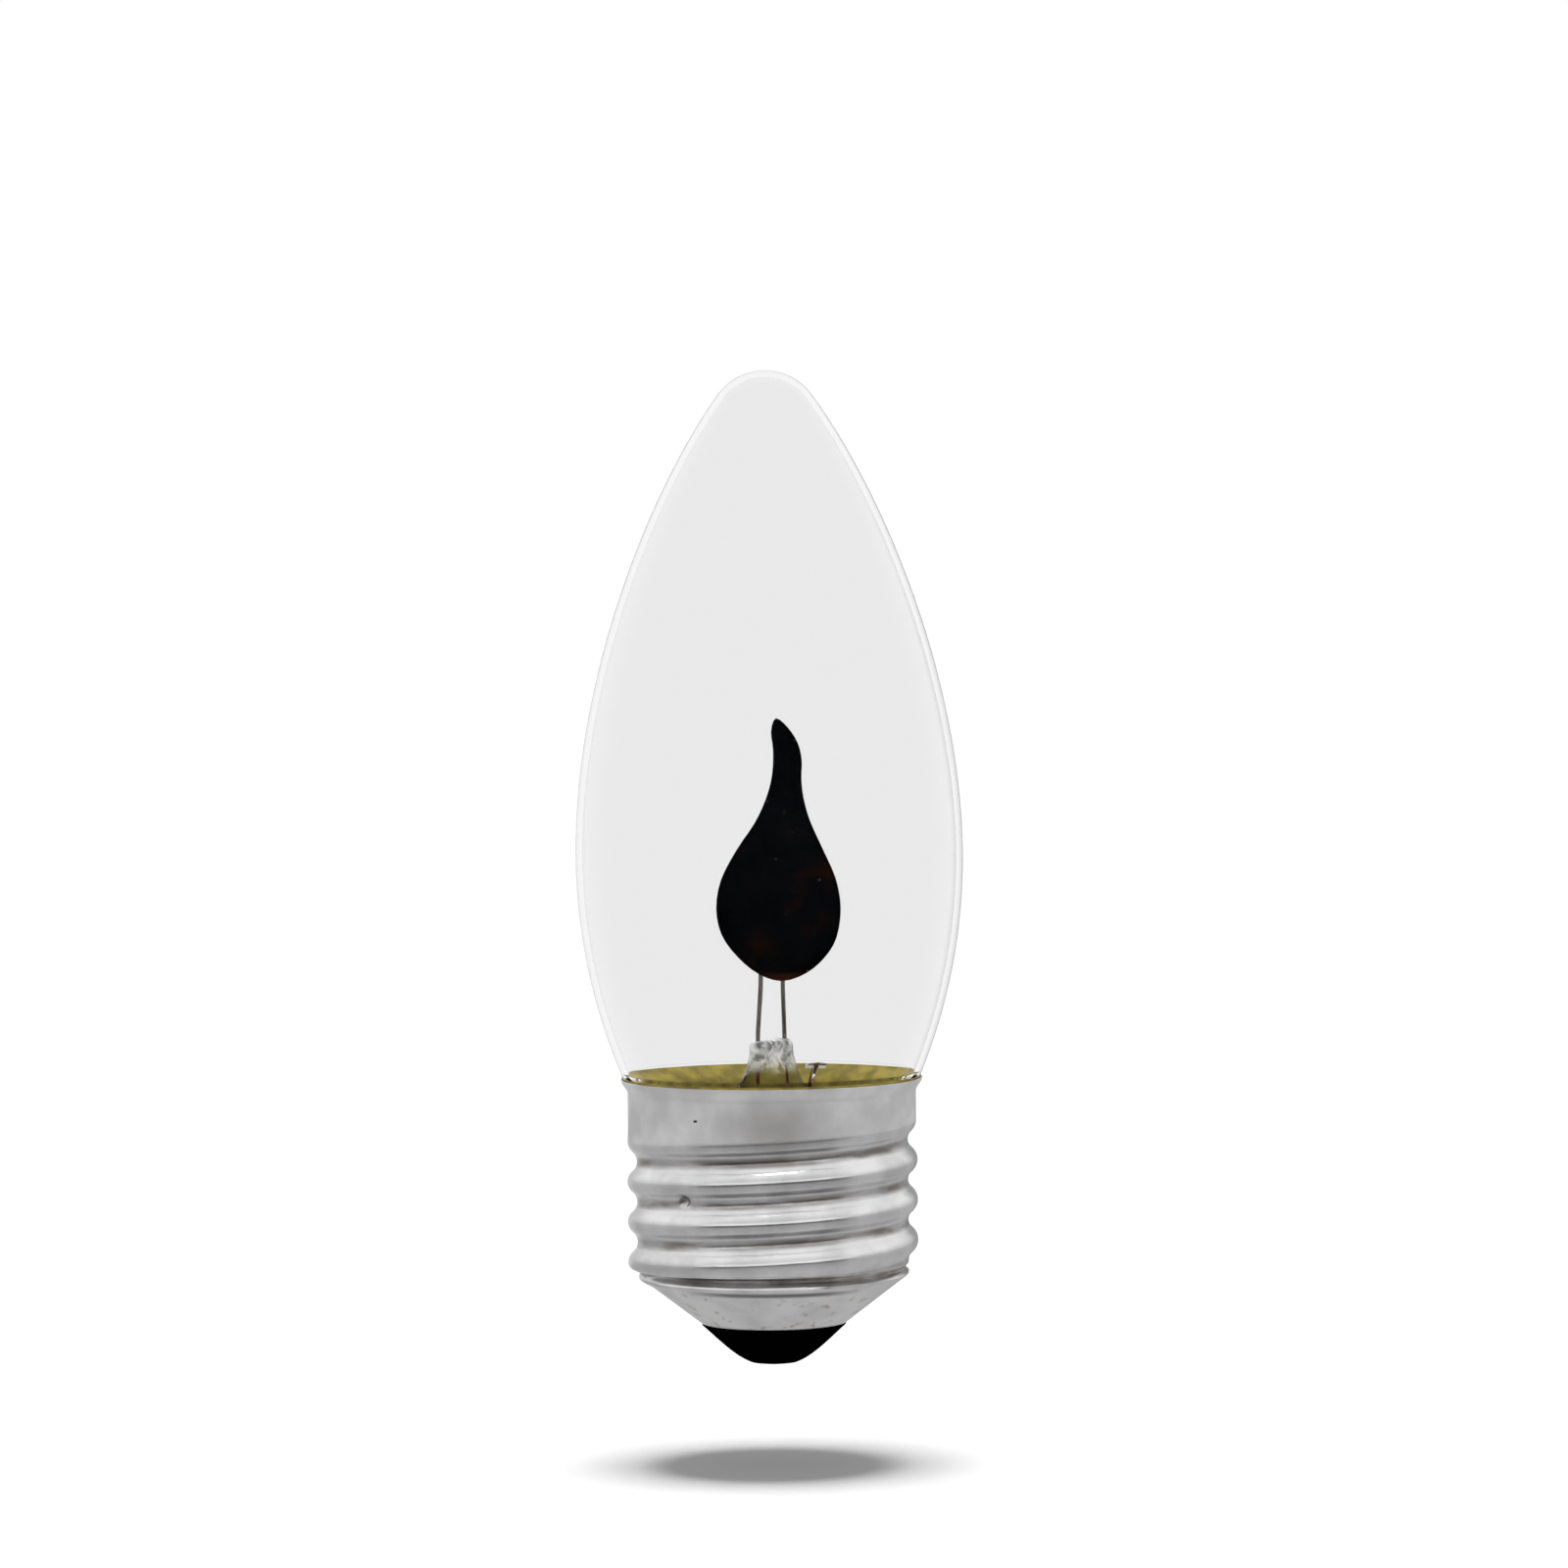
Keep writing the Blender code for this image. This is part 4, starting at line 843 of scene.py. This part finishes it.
class LAMP_OT_envelope(bpy.types.Operator):
    """Blows the clear candle-shaped envelope."""

    bl_idname = "lamp.envelope"
    bl_label = "Glass envelope"

    def execute(self, context):
        glass = turn_outline("clear_envelope", envelope_outline(GLASS_DETAIL), GLASS_FACES)
        wall = context.scene.lamp_sizes.glass_wall
        apply_modifier(glass, "SOLIDIFY", thickness=wall, offset=-1, use_even_offset=True)
        tint = tuple(context.scene.lamp_colours.glass)
        # The darker colour is painted shade at the glass's outline
        surface = blown_soda_glass(tint, shaded(tint, 0.72))
        finish_piece(glass, surface, "clear_glass", "glass_envelope", angle=ROLLED_ANGLE)
        return {"FINISHED"}


class LAMP_OT_stem(bpy.types.Operator):
    """Lofts the pressed stem with its tube and flare, and finishes the sealed exhaust tube below it."""

    bl_idname = "lamp.stem"
    bl_label = "Pressed stem"

    def execute(self, context):
        # The second colour is painted shade at the stem's outline
        clear = pressed_lead_glass(linear("#F4F5F4"), linear("#3C3B39"))
        stem = pinched_loft("pressed_stem", stem_rings(), STEM_FACES)
        stem.rotation_euler.z = PRESS_TURN
        bpy.ops.object.transform_apply(location=False, rotation=True, scale=False)
        finish_piece(stem, clear, "stem_glass", "stem_glass")
        tube = copy_of_node("exhaust_tube", "sealed_tube")
        apply_modifier(tube, "SUBSURF", levels=1, render_levels=1)
        finish_piece(tube, clear, "stem_glass", "exhaust_tube")
        return {"FINISHED"}


class LAMP_OT_cap(bpy.types.Operator):
    """Rolls the aluminium screw cap from a drawn tube, with its wall, a dent and the lead's notch."""

    bl_idname = "lamp.cap"
    bl_label = "Screw cap"

    columns: IntProperty(name="Columns", description="Faces around the cap", default=360, min=32)
    rows: IntProperty(name="Rows", description="Faces from the foot to the rim", default=120, min=32)

    def execute(self, context):
        sizes = context.scene.lamp_sizes
        widest = collar_radius + LIP_FLARE
        squeeze = widest - CONE_FOOT_RADIUS
        shell = start_piece(
            "rolled_cap",
            bpy.ops.mesh.primitive_circle_add,
            vertices=self.columns,
            radius=widest,
            fill_type="NOTHING",
        )
        bpy.ops.transform.translate(value=(0, 0, cone_foot_height))
        step = (rim_height - cone_foot_height) / self.rows
        for _ in range(self.rows):
            bpy.ops.mesh.extrude_region_move(TRANSFORM_OT_translate={"value": (0, 0, step)})
        close_edit(shell)
        face_outwards(shell)
        rolled = shell.vertex_groups.new(name="rolled")
        for vertex in shell.data.vertices:
            turn = math.atan2(vertex.co.y, vertex.co.x)
            radius = cap_radius(vertex.co.z, turn)
            place = Vector((radius * math.cos(turn), radius * math.sin(turn), vertex.co.z))
            reach = (place - Vector(DENT_PLACE)).length / DENT_RADIUS
            radius -= sizes.dent_depth * math.exp(-reach * reach)
            rolled.add([vertex.index], (widest - radius) / squeeze, "REPLACE")
        apply_modifier(shell, "DISPLACE", strength=-squeeze, mid_level=0.0, vertex_group="rolled")
        apply_modifier(shell, "SOLIDIFY", thickness=sizes.cap_wall, offset=-1)
        cut_away(
            shell,
            bpy.ops.mesh.primitive_cube_add,
            turn=SIDE_LEAD_TURN,
            stretch=(NOTCH_REACH, NOTCH_WIDTH, 2 * NOTCH_DEPTH),
            size=1.0,
            location=(
                collar_radius * math.cos(SIDE_LEAD_TURN),
                collar_radius * math.sin(SIDE_LEAD_TURN),
                rim_height,
            ),
        )
        # The second colour is grime, used also for painted shade in the thread's roots and for a painted dark
        # reflection on the collar
        sheet = rolled_aluminium(
            tuple(context.scene.lamp_colours.aluminium), linear("#7C736B"), linear("#A0814F")
        )
        finish_piece(shell, sheet, "cap_aluminium", "screw_shell", angle=ROLLED_ANGLE)
        return {"FINISHED"}


class LAMP_OT_cement(bpy.types.Operator):
    """Fills the room between the cap and the neck with a ring of cement, up to just under the lip."""

    bl_idname = "lamp.cement"
    bl_label = "Cement ring"

    def execute(self, context):
        # Basing cement, filled resin baked hard: dull olive, with a grain of about 0.3 mm
        olive = mottled(
            "basing_cement",
            tuple(context.scene.lamp_colours.cement),
            feature=1.4,
            roughness=0.9,
            depth=0.05 * MM,
            grain=0.3,
            shade=0.55,
        )
        ring = turn_outline("cement_ring", cement_outline(), CEMENT_FACES)
        along, across = math.cos(SIDE_LEAD_TURN), math.sin(SIDE_LEAD_TURN)
        bore = collar_radius - SHELL_WALL
        # A slot for the side lead, and a shallow bed for the solder's drop
        for width, depth in ((LEAD_SLOT_WIDTH, LEAD_SLOT_DEPTH), (SOLDER_BED_WIDTH, SOLDER_BED_DEPTH)):
            cut_away(
                ring,
                bpy.ops.mesh.primitive_cube_add,
                turn=SIDE_LEAD_TURN,
                stretch=(3 * (bore - neck_radius), width, 2 * depth),
                size=1.0,
                location=(bore * along, bore * across, rim_height),
            )
        finish_piece(ring, olive, "cement", "basing_cement")
        return {"FINISHED"}


class LAMP_OT_flame_plates(bpy.types.Operator):
    """Finishes the two stamped flame plates, with rounded edges."""

    bl_idname = "lamp.flame_plates"
    bl_label = "Flame plates"

    def execute(self, context):
        coated = blackened_iron_sheet(tuple(context.scene.lamp_colours.plate), linear("#4A2A1C"))
        for node in ("front_electrode", "rear_electrode"):
            plate = copy_of_node(node, node.replace("electrode", "flame_plate"))
            edge = context.scene.lamp_sizes.plate_edge
            apply_modifier(plate, "BEVEL", width=edge, segments=2, limit_method="ANGLE")
            finish_piece(plate, coated, "flame_plate", node)
        return {"FINISHED"}


class LAMP_OT_wires(bpy.types.Operator):
    """Finishes the support wires, the seal wires and the leads as round wire."""

    bl_idname = "lamp.wires"
    bl_label = "Wires and leads"

    def execute(self, context):
        # Nickel wire, drawn: grey and slightly dull from the fire that sealed it
        nickel = mottled("drawn_nickel_wire", linear("#6A6562"), 1.5, 0.35, depth=0.005 * MM, Metallic=1.0)
        # Copper-clad iron wire, drawn and oxidised: reddish brown
        copper = mottled("copper_clad_wire", linear("#7A4D3B"), 1.0, 0.35, depth=0.005 * MM, Metallic=1.0)
        for part in frame["record"]["subparts"]:
            node, slot = part["node"], part["material_slot"]
            if slot in ("support_wire", "copper_wire"):
                wire = copy_of_node(node, node + "_drawn")
                apply_modifier(wire, "SUBSURF", levels=1, render_levels=1)
                finish_piece(wire, nickel if slot == "support_wire" else copper, slot, node)
        return {"FINISHED"}


class LAMP_OT_insulator(bpy.types.Operator):
    """Turns the black glass insulator at the foot of the cap."""

    bl_idname = "lamp.insulator"
    bl_label = "Insulator"

    def execute(self, context):
        # Black glass, moulded: no light comes back from it, and its sheen doesn't show, so it has none
        black = mottled(
            "black_insulating_glass",
            tuple(context.scene.lamp_colours.insulator),
            feature=3.0,
            roughness=0.35,
            depth=0.01 * MM,
            Specular_IOR_Level=0.0,
        )
        cone = turn_outline("moulded_insulator", insulator_outline(), INSULATOR_FACES)
        finish_piece(cone, black, "black_glass", "insulator")
        return {"FINISHED"}


class LAMP_OT_contacts(bpy.types.Operator):
    """Turns the contact plate and its solder, and finishes the solder at the rim."""

    bl_idname = "lamp.contacts"
    bl_label = "Contact and solder"

    def execute(self, context):
        # Brass, stamped: yellow, dulled by handling
        brass = mottled("stamped_brass", linear("#C8A867"), 1.0, 0.35, depth=0.01 * MM, Metallic=1.0)
        # Tin solder, set from a drop: grey, with a skin that is smooth to half a millimetre
        tin = mottled("tin_solder", linear("#6E625A"), 0.8, 0.4, depth=0.03 * MM, grain=0.5, Metallic=1.0)
        low, high = (corner.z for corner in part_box("contact_plate"))
        ring = [
            (CONTACT_RADIUS, high),
            (CONTACT_RADIUS, low),
            (LEAD_HOLE_RADIUS, low),
            (LEAD_HOLE_RADIUS, high),
            (CONTACT_RADIUS, high),
        ]
        eyelet = turn_outline("stamped_eyelet", ring, CONTACT_FACES)
        finish_piece(eyelet, brass, "contact_brass", "contact_plate")
        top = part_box("centre_solder")[1].z
        wide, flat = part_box("centre_solder")[1].x, SOLDER_FLAT_RADIUS
        bead = bezier((wide, top), (wide, 0.4 * top), ((wide + flat) / 2, 0), (flat, 0), 12)
        drop = turn_outline("centre_drop", [(0, top), *bead, (flat, 0), (0, 0)], CONTACT_FACES)
        finish_piece(drop, tin, "solder", "centre_solder")
        blob = copy_of_node("side_solder", "rim_drop")
        apply_modifier(blob, "BEVEL", width=0.08 * MM, segments=2, limit_method="ANGLE")
        # Solder with burnt flux on it: dark reddish brown, dull
        burnt = mottled("flux_burnt_solder", linear("#4A3531"), 0.8, 0.6, depth=0.03 * MM, grain=0.5)
        finish_piece(blob, burnt, "solder", "side_solder")
        return {"FINISHED"}


class LAMP_OT_resistor(bpy.types.Operator):
    """Finishes the ballast resistor inside the cap."""

    bl_idname = "lamp.resistor"
    bl_label = "Ballast resistor"

    def execute(self, context):
        # Dipped lacquer: tan, glossy, thicker over the ends
        lacquer = mottled("dipped_lacquer", linear("#BB9C68"), 2.0, 0.3, depth=0.02 * MM, grain=0.8)
        body = copy_of_node("resistor_body", "dipped_resistor")
        apply_modifier(body, "SUBSURF", levels=1, render_levels=1)
        finish_piece(body, lacquer, "resistor_lacquer", "resistor_body")
        return {"FINISHED"}


class LAMP_OT_stage(bpy.types.Operator):
    """Sets the floor, the light around and above, and the camera."""

    bl_idname = "lamp.stage"
    bl_label = "Floor, light and camera"

    def execute(self, context):
        settings = context.scene.lamp_stage
        bpy.ops.object.select_all(action="DESELECT")
        bpy.ops.mesh.primitive_plane_add(size=FLOOR_SIZE, location=(0, 0, settings.floor_height))
        floor = context.active_object
        floor.name = "floor"
        floor.data.materials.append(white_sweep())
        light_around(settings.sky_strength)
        hang_light_tent(settings.floor_height)
        bpy.ops.object.light_add(type="SUN", location=(0, 0, 0.6))
        sun = context.active_object
        sun.name = "top_light"
        sun.data.energy = settings.sun_strength
        sun.data.angle = SUN_SPREAD
        sun.visible_glossy = False
        place = Vector((0, -settings.camera_distance, settings.camera_height))
        bpy.ops.object.camera_add(location=place)
        camera = context.active_object
        camera.name = "camera"
        turn = (Vector(CAMERA_AIM) - place).to_track_quat("-Z", "Y").to_matrix()
        roll = Matrix.Rotation(settings.camera_roll, 3, "Z")
        camera.matrix_world = (turn @ roll).to_4x4()
        camera.location = place
        camera.data.lens = settings.camera_lens
        camera.data.sensor_width = SENSOR_WIDTH
        camera.data.clip_start = 0.01
        context.scene.camera = camera
        context.scene.view_settings.view_transform = "Standard"
        return {"FINISHED"}


def white_sweep():
    """White sweep paper: it keeps the lamp's shadow, and metal and glass show it as plain white."""
    made, tree, shader, _ = new_material("white_sweep", Roughness=1.0, Specular_IOR_Level=0.0)
    shader.inputs["Base Color"].default_value = linear("#F4F4F4")
    path = add_node(tree, "LightPath")
    mirrored = add_node(
        tree,
        "Math",
        {0: path.outputs["Is Glossy Ray"], 1: path.outputs["Is Transmission Ray"]},
        operation="MAXIMUM",
    )
    white = add_node(tree, "Emission", {"Color": grey(1.0), "Strength": 1.0})
    both = add_node(tree, "MixShader", {0: mirrored, 1: shader, 2: white})
    tree.links.new(both.outputs[0], tree.nodes["Material Output"].inputs["Surface"])
    return made


def hang_light_tent(floor_height):
    """A light tent that only the gloss of metal and glass sees: lit sides and top, open and dark in front."""
    outline = [(r * MM, floor_height + h * MM) for r, h in TENT_OUTLINE]
    tent = turn_outline("light_tent", outline, TENT_FACES)
    made = bpy.data.materials.new("light_tent")
    made.use_nodes = True
    made.cycles.emission_sampling = "NONE"
    tree = made.node_tree
    place = add_node(tree, "TexCoord").outputs["Object"]
    from_cap = add_node(tree, "VectorMath", {0: place, 1: TENT_MIDDLE}, operation="SUBTRACT")
    way = add_node(tree, "VectorMath", {0: from_cap}, operation="NORMALIZE")
    way = add_node(tree, "SeparateXYZ", {0: way})
    rise = add_node(tree, "MapRange", {0: way.outputs["Z"], 1: -1.0, 2: 1.0})
    right, back = way.outputs["X"], way.outputs["Y"]
    side = add_node(tree, "ValToRGB", {"Fac": rise}, stops=[(p, grey(v)) for p, v in TENT_SIDE])
    front = add_node(tree, "ValToRGB", {"Fac": rise}, stops=[(p, grey(v)) for p, v in TENT_FRONT])
    behind = add_node(tree, "MapRange", {0: right, 1: -0.1, 2: 0.1, 3: 0.65, 4: 0.35})
    in_front = add_node(tree, "MapRange", {0: back, 1: -0.30, 2: -0.75}, interpolation_type="SMOOTHSTEP")
    in_back = add_node(tree, "MapRange", {0: back, 1: 0.75, 2: 0.95}, interpolation_type="SMOOTHSTEP")
    level = side
    for share, other in ((in_front, front), (in_back, behind)):
        level = add_node(tree, "Mix", {0: share, 6: level, 7: other}, data_type="RGBA").outputs[2]
    glow = add_node(tree, "Emission", {"Color": level, "Strength": 1.0})
    tree.links.new(glow.outputs[0], tree.nodes["Material Output"].inputs["Surface"])
    tent.data.materials.append(made)
    tent.visible_camera = False
    tent.visible_diffuse = False
    tent.visible_transmission = False
    tent.visible_shadow = False


def light_around(strength):
    """Soft light from all sides; white where it is seen."""
    world = bpy.data.worlds.new("soft_studio")
    world.use_nodes = True
    bpy.context.scene.world = world
    tree = world.node_tree
    path = add_node(tree, "LightPath")
    soft = tree.nodes["Background"]
    soft.inputs["Color"].default_value = grey(1.0)
    soft.inputs["Strength"].default_value = strength
    white = add_node(tree, "Background", {"Color": grey(1.0), "Strength": 1.0})
    seen = path.outputs["Is Camera Ray"]
    for ray in ("Is Transmission Ray", "Is Glossy Ray"):
        seen = add_node(tree, "Math", {0: seen, 1: path.outputs[ray]}, operation="MAXIMUM")
    both = add_node(tree, "MixShader", {0: seen, 1: soft, 2: white})
    tree.links.new(both.outputs[0], tree.nodes["World Output"].inputs["Surface"])


class LAMP_PT_panel(bpy.types.Panel):
    """Lists the lamp's pieces and settings in the sidebar."""

    bl_idname = "LAMP_PT_panel"
    bl_label = "Flame lamp"
    bl_space_type = "VIEW_3D"
    bl_region_type = "UI"
    bl_category = "Flame lamp"

    def draw(self, context):
        for operator in OPERATORS:
            self.layout.operator(operator.bl_idname)
        for group in (context.scene.lamp_colours, context.scene.lamp_sizes, context.scene.lamp_stage):
            for name in group.bl_rna.properties.keys():
                if name not in ("rna_type", "name"):
                    self.layout.prop(group, name)


GROUPS = {"lamp_colours": LampColours, "lamp_sizes": LampSizes, "lamp_stage": LampStage}
OPERATORS = (
    LAMP_OT_stage,
    LAMP_OT_envelope,
    LAMP_OT_stem,
    LAMP_OT_cap,
    LAMP_OT_cement,
    LAMP_OT_flame_plates,
    LAMP_OT_wires,
    LAMP_OT_insulator,
    LAMP_OT_contacts,
    LAMP_OT_resistor,
)
CLASSES = (*GROUPS.values(), *OPERATORS, LAMP_PT_panel)


def register():
    """Registers the classes and the scene's settings."""
    for made in CLASSES:
        bpy.utils.register_class(made)
    for name, group in GROUPS.items():
        setattr(bpy.types.Scene, name, PointerProperty(type=group))


def unregister():
    """Removes what register added."""
    for name in GROUPS:
        delattr(bpy.types.Scene, name)
    for made in reversed(CLASSES):
        bpy.utils.unregister_class(made)


def main():
    """Makes the lamp: registers the settings and runs each operator."""
    register()
    bpy.ops.lamp.stage()
    bpy.ops.lamp.envelope()
    bpy.ops.lamp.stem()
    bpy.ops.lamp.cap()
    bpy.ops.lamp.cement()
    bpy.ops.lamp.flame_plates()
    bpy.ops.lamp.wires()
    bpy.ops.lamp.insulator()
    bpy.ops.lamp.contacts()
    bpy.ops.lamp.resistor()


if __name__ == "__main__":
    main()
